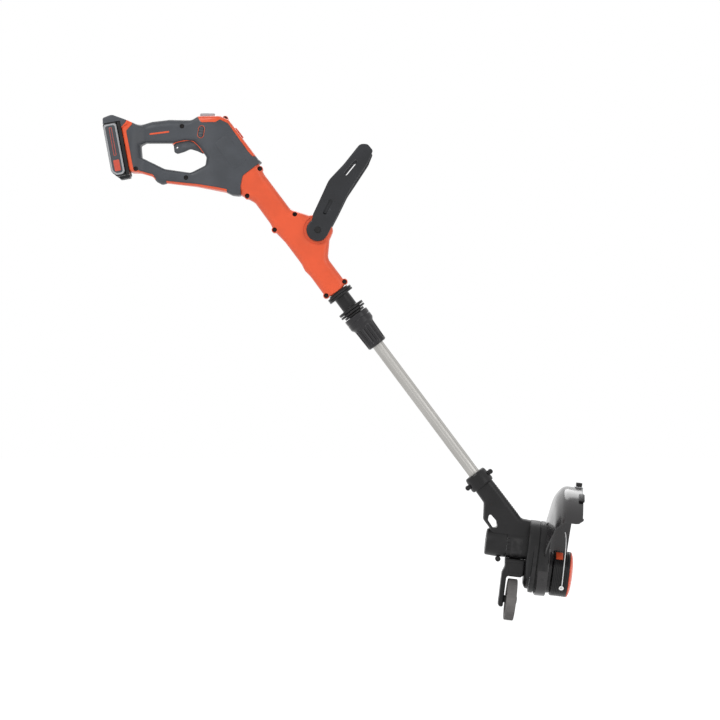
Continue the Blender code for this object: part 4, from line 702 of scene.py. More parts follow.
def handleBody():
    # for each direction from the loop's centre, a rounded section from the outer outline in to the loop
    look = handleLook
    turn = np.linspace(-math.pi, math.pi, 640, endpoint=False)
    far, near = radiusAt(look["outline"], look["centre"], turn), radiusAt(look["loop"], look["centre"], turn)
    direction = np.stack((np.cos(turn), np.sin(turn)), 1)
    outer = np.array(look["centre"]) + far[:, None] * direction
    width = far - near
    edgeOuter = look["edgeDock"] + (look["edgeGrip"] - look["edgeDock"]) * rise(outer[:, 0], -58, -30)
    edgeOuter = edgeOuter - (look["edgeGrip"] - look["edgeFront"]) * rise(outer[:, 0], 45, 80)
    edgeOuter = np.minimum(edgeOuter, width * 0.45)
    edgeInner = np.minimum(look["edgeLoop"], width * 0.45)
    lift = np.radians(np.linspace(0, 90, 9))
    face = np.linspace(0, 1, 12)[1:-1]
    wall = np.linspace(1, -1, 6)[1:-1]
    # columns: how much of each edge radius and of the free width each one lies in, and how far it has dropped
    none, one = np.zeros_like, np.ones_like
    parts = [
        (none(face), face, none(face), one(face), none(face), none(face)),
        (none(lift), one(lift), np.sin(lift), one(lift), none(lift), 1 - np.cos(lift)),
        (none(wall), one(wall), one(wall), wall, none(wall), one(wall)),
        (none(lift), one(lift), np.sin(lift[::-1]), -one(lift), none(lift), 1 - np.cos(lift[::-1])),
        (none(face), face[::-1], none(face), -one(face), none(face), none(face)),
        (np.sin(lift), none(lift), none(lift), -one(lift), 1 - np.cos(lift), none(lift)),
        (one(wall), none(wall), none(wall), -wall, one(wall), none(wall)),
        (np.sin(lift[::-1]), none(lift), none(lift), one(lift), 1 - np.cos(lift[::-1]), none(lift)),
    ]
    columns = (np.concatenate(column)[None] for column in zip(*parts))
    toOuter, free, toInner, side, dropOuter, dropInner = columns
    edgeOuter, edgeInner, width = edgeOuter[:, None], edgeInner[:, None], width[:, None]
    depth = edgeOuter * (1 - toOuter) + free * (width - edgeOuter - edgeInner) + toInner * edgeInner
    x = outer[:, :1] - direction[:, :1] * depth
    z = outer[:, 1:] - direction[:, 1:] * depth
    y = side * (handleHalf(x) - dropOuter * edgeOuter - dropInner * edgeInner)
    return skin(np.dstack((x, y, z)), closeRows=True)


def makeHandle():
    # the handle, cut along offsets of the trim outlines, so that each trim is what lies inside its own
    look, buttons = handleLook, buttonLook
    body = handleBody()
    join(body, plate(look["hood"], 34.0, 2.5))
    carve(body, block((-60, 0.0), (-60, 60), (-90, 40.6), "dock"), plate(look["triggerSlot"], 9.0),
          plate(grownSlot(buttons["lock"], 0.8), 70.0))
    for x, z in look["screws"]:
        carve(body, rod(4.3, -60, look["screwDepth"] - handleHalf(x), at=(x, z)))
    carve(body, plate(grownSlot(buttons["feed"], 0.6), 12.0, 0.0, "world", "z", buttons["feedBase"]))
    start, length, travel = buttons["slider"][:3]
    housing = grownPrism(look["housing"], 0.2, "shaft", 90.0)
    carve(body, block((start, start + length + travel), (-4.4, 4.4), (18, 43), "shaft"), housing)

    trims = ("spine", "lowerTrim", "dockBand")
    cover, trim, band = (keep(copied(body), grownPrism(look[name])) for name in trims)
    carve(body, *(grownPrism(look[name], 0.4) for name in trims))
    rail = block((-5.0, 3.0), (-16, 16), (-49, 26), "dock")
    join(band, join(rail, block((-5.0, -2.6), (-21, 21), (-49, 26), "dock")))
    carve(band, block((0.2, 16.3), (-14.3, 14.3), (-12.3, 12.3), "dock"))
    dressHalves(body, "handleShell", "greyShell", "handle", "handle_shell")
    x, z, radius = look["coverLug"]
    join(cover, rod(radius, -14, 14, "world", "y", (x, z), 40, 1.0))
    carve(cover, grownPrism(look["housing"], 0.2, "shaft", 90.0))
    dress(cover, "spineCover", "orangePlastic", "handle", "spine_cover")
    dress(turned(look["coverScrew"], "world", "y", (x, z), 36), "coverScrew", "darkSteel", "handle")
    dress(trim, "lowerTrim", "orangePlastic", "handle", "lower_trim")
    dress(band, "dockBand", "orangePlastic", "handle", "dock_trim")

    dress(plate(slotOutline(*look["accent"]), 17.9, 0.5), "gripAccent", "orangePlastic", "handle")
    dress(plate(look["badge"], handleHalf(135) + 0.35, 0.35), "plainPad", "greyShell", "handle")
    rings = [grownSlot(buttons["lock"], wider, 24) for wider in buttons["rimGrow"]]
    for tag, side in (("Near", -1), ("Far", 1)):
        # the lock-off button's rim: slot outlines joined, its face following the widening handle
        rows = [np.column_stack((line[:, 0], side * (handleHalf(line[:, 0]) + high), line[:, 1]))
                for line, high in zip(rings, buttons["rimLift"])]
        dress(skin(np.stack(rows), closeRows=True, caps=False), f"lockRim{tag}", "orangePlastic", "handle")


def makeScrew(kind, index, spot, floor, where, radius, depth=3.0):
    # a domed head whose six-lobed socket is a radius that waves six times round
    top = floor - depth
    profile = ((floor + 7.0, 0.0, 0), (floor + 7.0, 1.3, 0), (floor, 1.3, 0), (floor, radius, 0),
               (top + 0.6, radius, 0.5), (top, radius - 0.8, 0.5), (top, 1.8, 0),
               (top + 1.6, 1.5, 0), (top + 1.6, 0.0, 0))
    points = np.array([corner[:2] for corner in profile])
    angle = np.linspace(0, 2 * math.pi, 36, endpoint=False)[None]
    socket = (points[:, 1] > 0) & (points[:, 1] < 1.9) & (points[:, 0] < floor - 1.0)
    radii = points[:, 1:] + np.where(socket[:, None], 0.28 * np.cos(6 * angle), 0)
    along = np.broadcast_to(points[:, :1], radii.shape)
    grid = np.dstack((spot[0] + radii * np.sin(angle), along, spot[1] + radii * np.cos(angle)))
    screw = skin(grid, where, caps=False)
    dress(screw, f"{kind}Screw{index + 1}", "darkSteel", "handle", f"{kind}_screw_{index + 1}")


def ridges(piece, slot, shifts, length, width, where, height):
    # grooves across a key, side by side along it
    for shift in shifts:
        carve(piece, plate(slotOutline(slot + shift, 0.0, length, width, 90), 0.7, 0.0, where, "z", height))


def makeButtons():
    # outlines with a thickness; their lines and grooves follow the widening handle
    look = buttonLook
    lever = plate(look["lever"], 8.5, 1.9, steps=6)
    carve(lever, rod(2.3, -20, 20, at=(76.0, 1.0)), rod(2.0, -20, 20, at=(32.5, -8.0)))
    dress(lever, "triggerLever", "greyShell", "trigger_lever", "trigger", slotName="black_plastic")
    route = evenly(roundedOutline(look["leverLine"], False), 60, False)
    for tag, side in (("Near", -1), ("Far", 1)):
        path = np.stack((route[:, 0], side * (handleHalf(route[:, 0]) - 5.4), route[:, 1] + 0.4), 1)
        dress(sweep(path, 0.9, sides=10), f"triggerLine{tag}", "orangePlastic", "handle")

    x, z, _, _, lean = look["lock"]
    reach = handleHalf(x) + look["lockProud"]
    button = plate(slotOutline(*look["lock"]), reach, 1.2)
    turn = math.radians(lean)
    for shift in (-5.0, 0.0, 5.0):
        groove = slotOutline(x + shift * math.cos(turn), z + shift * math.sin(turn), 8.0, 1.4, lean + 90)
        carve(button, *(plate(groove, 1.0, middle=side * reach) for side in (-1, 1)))
    dress(button, "lockOffButton", "greyShell", "lock_off", "lock_off_button", slotName="black_plastic")

    base = look["feedBase"]
    key = plate(slotOutline(*look["feed"]), 5.5, 2.0, "world", "z", base + 0.5, steps=6)
    ridges(key, look["feed"][0], (-7.5, -4.5, -1.5, 1.5, 4.5, 7.5), 9.0, 1.2, "world", base + 6.1)
    dress(key, "feedButton", "lightGrey", "feed_key", "feed_button")

    start, length, _, wide = look["slider"]
    base, middle = look["sliderBase"], start + length / 2
    cap = plate(slotOutline(middle, 0.0, length - 0.6, wide), 1.1, 0.7, "shaft", "z", base + 1.4)
    ridges(cap, middle, (-6.0, -3.0, 0.0, 3.0, 6.0), 11.0, 1.1, "shaft", base + 2.5)
    join(cap, block((start + 0.3, start + length - 0.3), (-4, 4), (base - 6, base + 0.8), "shaft"))
    dress(cap, "speedSlider", "capOrange", "speed_key", "speed_slider", slotName="black_plastic")


makeHandle()
for index, (x, z) in enumerate(handleLook["screws"]):
    makeScrew("handle", index, (x, z), handleLook["screwDepth"] - handleHalf(x) - clearance, "world", 4.0)
makeButtons()
print("rear handle made")

# Battery

packLook = {
    "outline": ((-33, 40, 4), (-7.3, 40, 1.5), (-7.3, -61, 1.5), (-24, -61, 6), (-33, -50, 9)), "half": 37.0,
    "side": (-32.3, -7.9, -58.0, 37.6), "rim": 3.2, "label": (-25.6, -14.4, -51.0, -30.0), "stripeTop": 31.0,
}


def makeBattery():
    # a rounded outline with a thickness, and thin frames and plates lying on both of its sides
    look = packLook
    half, rim = look["half"], look["rim"]
    case = plate(look["outline"], half, 3.0, "dock", steps=6)
    latchRoom = (-24, 5), (-15.3, 15.3), (-66, -57.7), "dock"
    dress(carve(case, block(*latchRoom)), "packCase", "blackPlastic", "battery", "battery_case")
    x0, x1, z0, z1 = look["side"]
    outline = ((x0, z0 + 8, 8), (x0 + 8, z0, 6), (x1, z0, 7), (x1, z1, 5), (x0, z1, 5))
    inner = ((x0 + rim, z0 + 9, 6), (x0 + 9, z0 + rim, 5), (x1 - rim, z0 + rim, 5), (x1 - rim, z1 - rim, 4),
             (x0 + rim, z1 - rim, 4))
    x0, x1, z0, z1 = look["label"]
    label = rectangle(x0, x1, z0, z1, 2)
    x0, x1, z0, z1 = x0 + 3.0, x1 - 3.0, z1 + 8, look["stripeTop"]
    stripe, within = rectangle(x0, x1, z0, z1, 1.5), rectangle(x0 + 0.9, x1 - 0.9, z0 + 0.9, z1 - 0.9, 0.8)
    for side, tag in ((-1, "Near"), (1, "Far")):
        def flat(shape, thick, edge, lift):
            return plate(shape, thick, edge, "dock", middle=side * (half + lift))

        ring = carve(flat(outline, 1.4, 0.6, -0.2), flat(inner, 5.0, 0.0, 0))
        dress(ring, f"packRim{tag}", "rimSilver", "battery")
        dress(flat(inner, 0.9, 0.3, -0.1), f"packPanel{tag}", "greyShell", "battery")
        dress(flat(label, 0.4, 0.2, 0.8), f"packLabel{tag}", "labelRed", "battery")
        ring = carve(flat(stripe, 0.35, 0.2, 0.7), flat(within, 3.0, 0.0, 0))
        dress(ring, f"packStripe{tag}", "labelRed", "battery")
    rails = block((-7.0, -0.3), (-33, 33), (-61, 40), "dock", 1.2)
    slot = block((-5.0, 5), (-16.4, 16.4), (-50, 49), "dock")
    join(slot, block((-5.4, -2.2), (-21.4, 21.4), (-50, 49), "dock"))
    dress(carve(rails, slot, block(*latchRoom)), "packRails", "blackPlastic", "battery", "battery_rails")
    latch = block((-20.5, -1.0), (-15, 15), (-66, -58), "dock", 1.6)
    for shift in (-16.5, -13.5, -10.5, -7.5, -4.5):
        carve(latch, block((shift - 0.5, shift + 0.5), (-11, 11), (-67, -65.2), "dock"))
    dress(latch, "packLatch", "softGrip", "latch", "battery_latch")


makeBattery()
print("battery made")

# Orange shaft housing

housingLook = {
    "outline": (
        (-580, 26, 4), (-556, 24.5, 8), (-535, 20.5, 20), (-452, 20.5, 20), (-423, 42, 8), (-413, 60, 14),
        (-375, 65, 16), (-364, 45, 10), (-338, 21.5, 20), (-277.7, 21.5, 12), (-277.7, -25, 12),
        (-330, -24.5, 15), (-345, -26.5, 12), (-360, -24, 12), (-410, -24, 12), (-440, -28, 12),
        (-455, -25.5, 12), (-503, -25, 15), (-530, -38, 12), (-580, -40, 12)),
    "screws": ((-547.5, 20), (-521, -29), (-440.5, 21.5), (-440, -26), (-284.5, 20.5), (-284, -22.5)),
    "pivot": (-391, 38), "corner": 13, "lug": 5.8, "lugHalf": 14, "bore": 17.5,
    "step": ((21.6, 25.6), (26, 25.6), (26, 27), (21.6, 27)),
}


def graphOf(corners, along):
    # the lower and the upper side of an outline at each place along it
    line = evenly(roundedOutline(corners), 9000)
    first, last = sorted((np.argmin(line[:, 0]), np.argmax(line[:, 0])))
    parts = line[first:last + 1], np.vstack((line[last:], line[:first + 1]))
    sides = [np.interp(along, *part[np.argsort(part[:, 0])].T) for part in parts]
    return np.minimum(*sides), np.maximum(*sides)


def makeHousing():
    # rounded sections between the two sides of the outline, with a lug for each screw
    look = housingLook
    along = np.linspace(-579.5, -277.9, 300)
    low, high = graphOf(look["outline"], along)
    half = 25.5 - 2.5 * rise(along, -556, -480)
    corner = np.minimum(np.full_like(along, look["corner"]), (high - low) * 0.4)
    body = loft(along, low, high, half, corner, "shaft", 2.0)
    lug = look["lugHalf"]
    for spot in look["screws"]:
        join(body, rod(look["lug"], -lug, lug, "shaft", "y", spot, 32, 1.2))
    keep(body, grownPrism(handleLook["housing"], -0.15, "shaft", 90.0))
    for side in (-1, 1):  # the round step about the front handle's pivot
        step = tuple((side * across, radius, 0) for across, radius in look["step"])
        carve(body, turned(step, "shaft", "y", look["pivot"], 96))
    carve(body, rod(look["bore"], -546, -270, "shaft", "x"), rod(4.3, -60, 60, "shaft", "y", look["pivot"]))
    carve(body, *(rod(4.4, -60, 4.0 - lug, "shaft", "y", spot) for spot in look["screws"]))
    dressHalves(body, "housingShell", "orangePlastic", "handle", "shaft_shell")
    for index, spot in enumerate(look["screws"]):
        makeScrew("housing", index, spot, 3.7 - lug, "shaft", 4.1)


makeHousing()
print("shaft housing made")

# Front handle

frontLook = {
    "pivot": (-391, 38), "round": 21, "thick": 8, "spread": 31, "bar": 11, "barPlace": (-451, 188),
    "left": (
        (-412, 37, 0), (-412.6, 41, 3), (-419, 47, 20), (-451.5, 109, 30), (-458, 148, 60),
        (-470.5, 196, 12), (-462, 206.5, 9), (-456, 206.9, 0)),
    "right": (
        (-370, 37, 0), (-372.6, 47, 12), (-391.5, 86, 40), (-409.5, 120, 60), (-434.5, 188.5, 20),
        (-446, 207.5, 10), (-452, 207.2, 0)),
    "slot": (-445.5, 155.5, 35, 7, 104), "recess": (-413.6, 78.4, 30, 7, 116, 4),
    "boltHead": ((1.5, 0, 0), (1.5, 0.9, 0.3), (1.8, 1.2, 0.2), (1.8, 5, 0.8), (0.4, 5.8, 0.6), (0, 5.8, 0)),
}


def armSide(distance):
    # how far out an arm lies: level near the pivot, then spreading smoothly to the bar
    return 23.3 + frontLook["thick"] / 2 + frontLook["spread"] * rise(distance, 25, 120)


def makeFrontHandle():
    # each arm a rounded section from its left edge to its right; the bar a section along a half ellipse
    look = frontLook
    pivot, thick = np.array(look["pivot"]), look["thick"]
    foot = np.radians(np.linspace(8, 90, 16))[::-1]
    edges = []
    for name, side in (("left", -1), ("right", 1)):
        heel = pivot + look["round"] * np.stack((side * np.cos(foot), -np.sin(foot)), 1)
        edges.append(np.vstack((heel, evenly(roundedOutline(look[name], False), 110, False))))
    left, right = edges
    width = np.hypot(*(right - left).T)
    corner = np.minimum(2.6, width * 0.45)
    across, over = sectionRing(-width / 2, width / 2, np.full_like(width, thick / 2), corner, 12, 6)
    share = over / np.maximum(width, 1e-6)[:, None] + 0.5
    flat = left[:, None] + (right - left)[:, None] * share[..., None]
    distance = np.hypot(flat[..., 0] - pivot[0], flat[..., 1] - pivot[1])
    arms = [skin(np.dstack((flat[..., 0], across + side * armSide(distance), flat[..., 1])), "shaft")
            for side in (-1, 1)]
    turn = np.linspace(-math.pi / 2, math.pi / 2, 40)
    barX, barZ = look["barPlace"]
    bar = np.stack((barX - 4 * np.cos(turn), armSide(180) * np.sin(turn) * 0.80, barZ + 3 * np.cos(turn)), 1)
    body = sweep(bar, look["bar"] * (0.94 + 0.06 * np.cos(turn * 6)), "shaft", 32)
    join(body, *arms)
    carve(body, plate(slotOutline(*look["slot"]), 90.0, 0.0, "shaft"))
    line = slotOutline(*look["recess"][:5], 24)
    face = armSide(np.hypot(line[:, 0] - pivot[0], line[:, 1] - pivot[1])) + thick / 2
    for side in (-1, 1):  # a recess whose floor keeps the same depth below the arm's face
        rows = [np.column_stack((line[:, 0], side * (face + lift), line[:, 1]))
                for lift in (-look["recess"][5], 6.0)]
        carve(body, skin(np.stack(rows), "shaft"))
    carve(body, rod(4.3, -60, 60, "shaft", "y", look["pivot"]))
    dress(body, "frontHandle", "softGrip", "front_handle", "aux_handle")

    outside = 23.0 + 0.6 + thick
    near = [(-outside - high, radius, edge) for high, radius, edge in look["boltHead"]]
    far = [(-along, radius, edge) for along, radius, edge in near[::-1]]
    profile = (*near, (-outside, 4, 0), (outside, 4, 0), *far)
    bolt = turned(profile, "shaft", "y", look["pivot"], 64, closed=False)
    dress(bolt, "pivotBolt", "blackPlastic", "handle", "aux_pivot_bolt")


makeFrontHandle()
print("front handle made")

# Sleeve, twist collar and tube

shaftLook = {
    "tube": 11, "wall": 1.2, "tubeStart": -340, "tubeEnd": 182, "housingEnd": -278, "ring": 26,
    "sleeveStart": -320, "sleeveEnd": -165, "collarStart": -223, "collarEnd": -153.5, "flutes": 14,
}


def makeSleeve():
    # profiles of rings carried round the shaft
    look = shaftLook
    bore, outer = look["tube"] + 0.4, look["tube"] + 2.0
    start, ring = look["housingEnd"] + clearance, look["ring"]
    flange = ((start, outer + clearance, 0), (start, ring - 6, 0), (start + 2.7, ring - 6, 0.6),
              (start + 2.7, ring - 0.5, 1.2), (start + 6.7, ring - 0.5, 1.2),
              (start + 6.7, outer + clearance, 0))
    dress(turned(flange, "shaft"), "upperFlange", "blackPlastic", "handle", "upper_flange")

    place, first, last = start + 7.0, look["sleeveStart"], look["sleeveEnd"]
    seat = look["collarStart"] - 1
    rings = ((0, outer, 0), (0, ring - 0.5, 1.2), (4.5, ring - 0.5, 1.2), (4.5, outer + 2, 1.5),
             (31.5, outer + 2, 2.5), (31.5, ring, 1.3), (36.5, ring, 1.3), (36.5, outer + 5, 0.4),
             (37.7, outer + 5, 0.4), (37.7, ring, 1.2), (41.7, ring, 1.2), (41.7, outer + 3, 0.4),
             (42.7, outer + 3, 0.4), (42.7, 21, 0.8))
    profile = ((first, bore, 0), (first, outer + 4.5, 0), (first + 10, outer + 4.5, 0),
               (first + 10, outer, 0),
               *((place + along, radius, edge) for along, radius, edge in rings),
               (seat, 21, 0.8), (seat, outer, 0), (last, outer, 0), (last, bore, 0))
    dress(turned(profile, "shaft"), "turnSleeve", "blackPlastic", "sleeve", "turn_sleeve")


def makeCollar():
    # a profile carried round the shaft, with flutes in its skin
    look = shaftLook
    bore, seat = look["tube"] + 0.4, look["tube"] + 2.0 + clearance
    first, last, back = look["collarStart"], look["collarEnd"], look["sleeveEnd"] + clearance
    profile = ((first, seat, 0), (first, 24.5, 1.4), (first + 9, 24.5, 0.5), (first + 10, 23.7, 0.4),
               (first + 11, 24.5, 0.5), (first + 20.5, 24.5, 2.2), (first + 26, 20.8, 3.0), (last, 19.3, 4.5),
               (last, bore, 0), (back, bore, 0), (back, seat, 0))
    outline = densely(roundedOutline(profile, True, 12.0), 2.0)

    def flute(along, angle):
        # a cosine round the collar, on its skin only and faded out at both ends
        window = rise(along, first + 26.5, first + 31) * (1 - rise(along, last - 9, last - 4.5))
        return -2.2 * window * (outline[:, 1:] > 17.5) * (0.5 + 0.5 * np.cos(look["flutes"] * angle)) ** 1.6

    collar = turned(outline, "shaft", steps=288, wave=flute)
    dress(collar, "heightCollar", "collarBlack", "collar", "height_collar", sharp=40)


def makeTube():
    # outside and bore as one closed profile, carried round the shaft
    look = shaftLook
    start, end, radius = look["tubeStart"], look["tubeEnd"], look["tube"]
    onSkin = np.concatenate(([0.0], np.ones(12), [0.0]))
    places = np.concatenate(([start], np.linspace(start, end, 12), [end]))
    radii = np.where(onSkin, radius, radius - look["wall"])

    def grooves(along, angle):
        # shallow grooves along the tube, at seven places round it
        groove = np.exp(-((((angle / (2 * math.pi) * 7 + 0.30) % 1) - 0.5) / 0.17) ** 2)
        return -0.8 * groove * np.ones_like(along) * onSkin[:, None]

    tube = turned(np.stack((places, radii), 1), "shaft", steps=240, wave=grooves)
    dress(tube, "innerTube", "tubeMetal", "lower_shaft", "inner_tube", sharp=50)


makeSleeve()
makeCollar()
makeTube()
print("sleeve, collar and tube made")

# Trimming head

headLook = {
    "motor": 43.5, "coverRadius": 25.5, "motorStart": -123.2, "split": -84, "gearStart": -45.2,
    "gearEnd": -14.5, "lowRadius": 43, "topRadius": 50, "nose": 38.3, "noseEnd": 4.6, "guardRing": 45.8,
    "ringStart": -22, "ringEnd": -2.2,
    "neck": (
        (159, -17.5, 8), (202, -18.5, 8), (226, -38, 9), (246, -38, 6), (262, -54, 8), (300, -54, 10),
        (330, -10, 10), (321, 26, 10), (288, 38.5, 9), (268, 20.5, 10), (159, 19.5, 8)),
    "eye": ((222.5, -21.5, 3), (243, -20, 4), (253.5, -25.5, 3), (249.5, -32.8, 3), (231.5, -31.5, 4)),
    "stack": (
        (-45.2, 16, 2), (-43, 11.5, 0), (-40.2, 8.2, 0), (-34.6, 8, 0), (-33.8, 1.6, 0), (-26.4, 1.2, 0),
        (-25.4, 3.4, 1.2), (-24.2, 3.4, 1.2), (-23.4, 0, 0), (-16.5, 0, 0), (-15, 1.2, 1.2), (-14.5, 3, 3)),
    "tongue": ((-24, -8, 6.5), (-5.5, -8, 6.5), (-5.5, 88, 3), (-24, 88, 3)), "tongueThick": 1.5,
    "badge": ((-76, 17, 2.5), (-55, 17, 2.5), (-55, 57, 2.5), (-76, 57, 2.5)),
    "vents": ((-81, 55), (-81, 48), (-81, 41), (-81, 34)), "collarLugs": (26.5, -26),
    "collar": ((148, 0, 0), (148, 19.5, 1.5), (151, 21.2, 2), (172, 23.5, 2.5), (176, 22, 1.5), (178, 0, 0)),
    "fork": (
        (-83.5, 17.6, 2), (-45.7, 17.6, 2), (-45.7, -11, 3), (-51, -15.5, 3), (-75, -15.5, 3),
        (-77.2, -19, 2), (-77.2, -74.5, 4), (-86.2, -73, 5), (-86.2, -10, 4), (-82, 2, 4)),
}


def gearboxOutline(shrink):
    # the line round two circles, one above the other
    low, top, apart = headLook["lowRadius"] - shrink, headLook["topRadius"] - shrink, headLook["motor"]
    lean = math.asin((top - low) / apart)
    upper, lower = np.linspace(-lean, math.pi + lean, 72), np.linspace(math.pi + lean, 2 * math.pi - lean, 56)
    return np.vstack((np.stack((top * np.cos(upper), apart + top * np.sin(upper)), 1),
                      np.stack((low * np.cos(lower), low * np.sin(lower)), 1)))


def makeGearbox():
    # outlines stacked along the spindle: each is drawn in by its second number below and its third above
    look = headLook
    whole, centre = gearboxOutline(0.0), np.array((0.0, look["motor"] / 2))
    away = np.hypot(*(whole - centre).T)[:, None]
    rows = []
    for place, below, above in look["stack"]:
        drawIn = below + (above - below) * rise(whole[:, 1:], -20, 62)
        rows.append(np.column_stack((np.full(len(whole), place), whole - (whole - centre) / away * drawIn)))
    body = skin(np.stack(rows), "head")
    start, nose, ring = look["ringStart"], look["nose"], look["guardRing"] + 0.4
    groove = (start - clearance, nose - 1), (start - clearance, ring), (20, ring), (20, nose - 1)
    carve(body, turned(groove, "head"))
    profile = ((start - 5, 0, 0), (start - 5, nose, 0), (look["noseEnd"], nose, 2.0), (look["noseEnd"], 0, 0))
    join(body, turned(profile, "head", closed=False))
    split, end, radius = look["split"], look["gearStart"] + 8, look["coverRadius"]
    profile = ((split, 0, 0), (split, radius, 0.8), (end, radius, 0), (end, 0, 0))
    return join(body, turned(profile, "head", "x", (0, look["motor"]), 128, closed=False))


def makeNeck():
    # rounded sections between the two sides of the outline; the ribs are the upper halves of a cosine
    look = headLook
    along = np.linspace(159.2, 329.5, 171)
    low, high = graphOf(look["neck"], along)
    ribs = 0.7 * np.maximum(0, np.cos(along * 2 * math.pi / 5.0))
    ribs = ribs * rise(along, 182, 188) * (1 - rise(along, 254, 260))
    half = 17.0 + 1.0 * rise(along, 190, 240)
    corner = np.minimum(np.full_like(along, 11.5), (high - low) * 0.4)
    neck = loft(along, low, high + ribs, half, corner, "shaft", 3.0)
    return carve(neck, plate(look["eye"], 40.0, 0.0, "shaft"))


def makeHeadCollar():
    # a ring with a screw lug above and one below
    collar = turned(headLook["collar"], "shaft", closed=False)
    for height in headLook["collarLugs"]:
        lug = rod(4.5, -9, 9, "shaft", "y", (162.5, height), 32, 1)
        foot = block((158.5, 166.5), (-8.5, 8.5), tuple(sorted((height, height * 0.7))), "shaft")
        join(collar, lug, foot)
    return collar


def makeHead():
    # gearbox, neck and collar as one body, with the motor and the spindle cut out of it
    look = headLook
    drop, radius, onDrum = look["motor"], look["coverRadius"], ("head", "x", (0, look["motor"]), 96)
    body = join(makeGearbox(), makeNeck(), makeHeadCollar())
    carve(body, rod(radius + clearance, look["motorStart"] - 30, look["split"] + 0.15, *onDrum),
          block((-104, -90), (-9, 9), (-10, 30), "head"),
          rod(23.0, look["motorStart"], look["gearStart"], *onDrum),
          rod(11.3, 138, 182.3, "shaft", "x", steps=96), rod(5.0, -36, 6.8, "head", "x"))
    for side in (-1, 1):
        for place, height in look["vents"]:
            across = side * math.sqrt(radius ** 2 - (height - drop) ** 2)
            carve(body, plate(slotOutline(place, height, 4.2, 1.6), 1.6, 0.0, "head", middle=across))
    dressHalves(body, "headShell", "blackPlastic", "lower_shaft", "head_shell")

    # a bracket that wraps the gearbox, and the bare plates on the drum, each cut from a skin just
    # outside its carrier
    wrap = plate(gearboxOutline(-look["tongueThick"]), 9.25, 0.4, "head", "x", -14.75)
    carve(wrap, plate(gearboxOutline(clearance), 12.0, 0.0, "head", "x", -14.75))
    dress(keep(wrap, plate(look["tongue"], 90.0, 0.0, "head")), "bracket", "blackPlastic", "lower_shaft")
    low, high = radius - 0.5, radius + 0.5
    pads = turned(((-80, low), (-80, high), (-50, high), (-50, low)), "head", "x", (0, drop), 160)
    dress(keep(pads, plate(look["badge"], 90.0, 0.0, "head")), "drumPads", "blackPlastic", "lower_shaft")


def makeMotorCover():
    # a thin can carried round the motor, with nine holes on a circle in its end
    look = headLook
    first, last = look["motorStart"], look["split"] - clearance
    radius, drop = look["coverRadius"], look["motor"]
    profile = ((first, 0, 0), (first, radius - 1.0, 3.4), (first + 16, radius, 0), (last, radius, 0.6),
               (last, 22.8, 0), (first + 3, 22.8, 0), (first + 3, 0, 0))
    cover = turned(profile, "head", "x", (0, drop), 128, closed=False)
    lug = rod(5, -8, 8, "head", "y", (-96.5, 13.6), 40, 1)
    join(cover, carve(lug, rod(23.5, -130, -60, "head", "x", (0, drop), 96)))
    for turn in np.radians(np.arange(0, 360, 40)):
        spot = (13.0 * math.sin(turn), drop + 13.0 * math.cos(turn))
        carve(cover, rod(2.2, first - 2, first + 4, "head", "x", spot, 20))
    dress(cover, "motorCover", "blackPlastic", "lower_shaft", "motor_cover")


makeHead()
makeMotorCover()
print("head shells made")

# Guard and blade

guardLook = {
    "radius": 164, "wall": 2.5, "plateAt": -14.2, "rimAt": 43, "near": 51, "far": -80, "endRound": 11,
    "bead": 1.3, "dish": ((0, 80, 20), (2.6, 58, 40), (10.2, 19, 40), (24, 0, 16)), "hub": 41,
}


def makeGuard():
    # a closed profile of plate and skirt carried round the spindle; the sides lean in towards the hub
    look, head = guardLook, headLook
    radius, wall, back, rim, bead = (look[name] for name in ("radius", "wall", "plateAt", "rimAt", "bead"))
    dish = [(back + lift, radius - inward, bend) for lift, inward, bend in look["dish"]]
    lining = [(along + 0.9 * wall, high - 0.4 * wall, max(bend - wall, 1))
              for along, high, bend in dish[1:-1]]
    lining = [(back + wall, dish[0][1], 18), *lining, (dish[-1][0] + 1.5, radius - wall, 14)]
    profile = ((back, look["hub"], 0), *dish, (rim - 1, radius, 0.8), (rim, radius - 0.2, 0.4),
               (rim, radius - wall, 0.6), *lining[::-1], (back + wall, look["hub"], 0))
    profile = densely(roundedOutline(profile, True, 8.0), 6.0)
    share = np.clip((radius - profile[:, 1]) / (radius - 60.0), 0, 1.2)
    near, far = look["near"] + 8.0 * share, look["far"] + 10.0 * share
    # the near end's corner at the rim is a quarter circle
    past = np.clip((profile[:, 0] - (rim - look["endRound"])) / look["endRound"], 0, 1)
    near = near - np.degrees(look["endRound"] / radius) * (1 - np.sqrt(1 - past * past))
    angle = np.radians(far[None] + (near - far)[None] * np.linspace(0, 1, 132)[:, None])
    along, high = np.broadcast_to(profile[None, :, 0], angle.shape), profile[None, :, 1]
    grid = np.dstack((along, -high * np.sin(angle), high * np.cos(angle)))
    body = skin(grid, "head")
    outside = (profile[:, 1] > 52.0) & (np.arange(len(profile)) < np.argmax(profile[:, 0]))
    inward = 1 - bead / profile[outside, 1:]
    path = grid[-1][outside] * np.hstack((np.ones_like(inward), inward, inward))
    path = path + np.array((bead * 0.6, 0, 0))
    turn = math.radians(look["near"])
    path[:, 1:] += bead * np.array((math.cos(turn), math.sin(turn)))
    inner, outer, start, end = head["nose"] + clearance, head["guardRing"], head["ringStart"], head["ringEnd"]
    ring = ((start, inner, 0), (start, outer, 1.5), (end, outer, 1.5), (end, inner, 0))
    join(body, sweep(path, bead, "head", 12), turned(ring, "head"))
    carve(body, rod(inner, -30, 10, "head", "x", steps=96),
          plate(slotOutline(-13.0, -18.0, 16.0, 6.0, 90), 4.0, 0.0, "head", middle=-outer))
    dress(body, "guard", "guardPlastic", "lower_shaft", "guard")


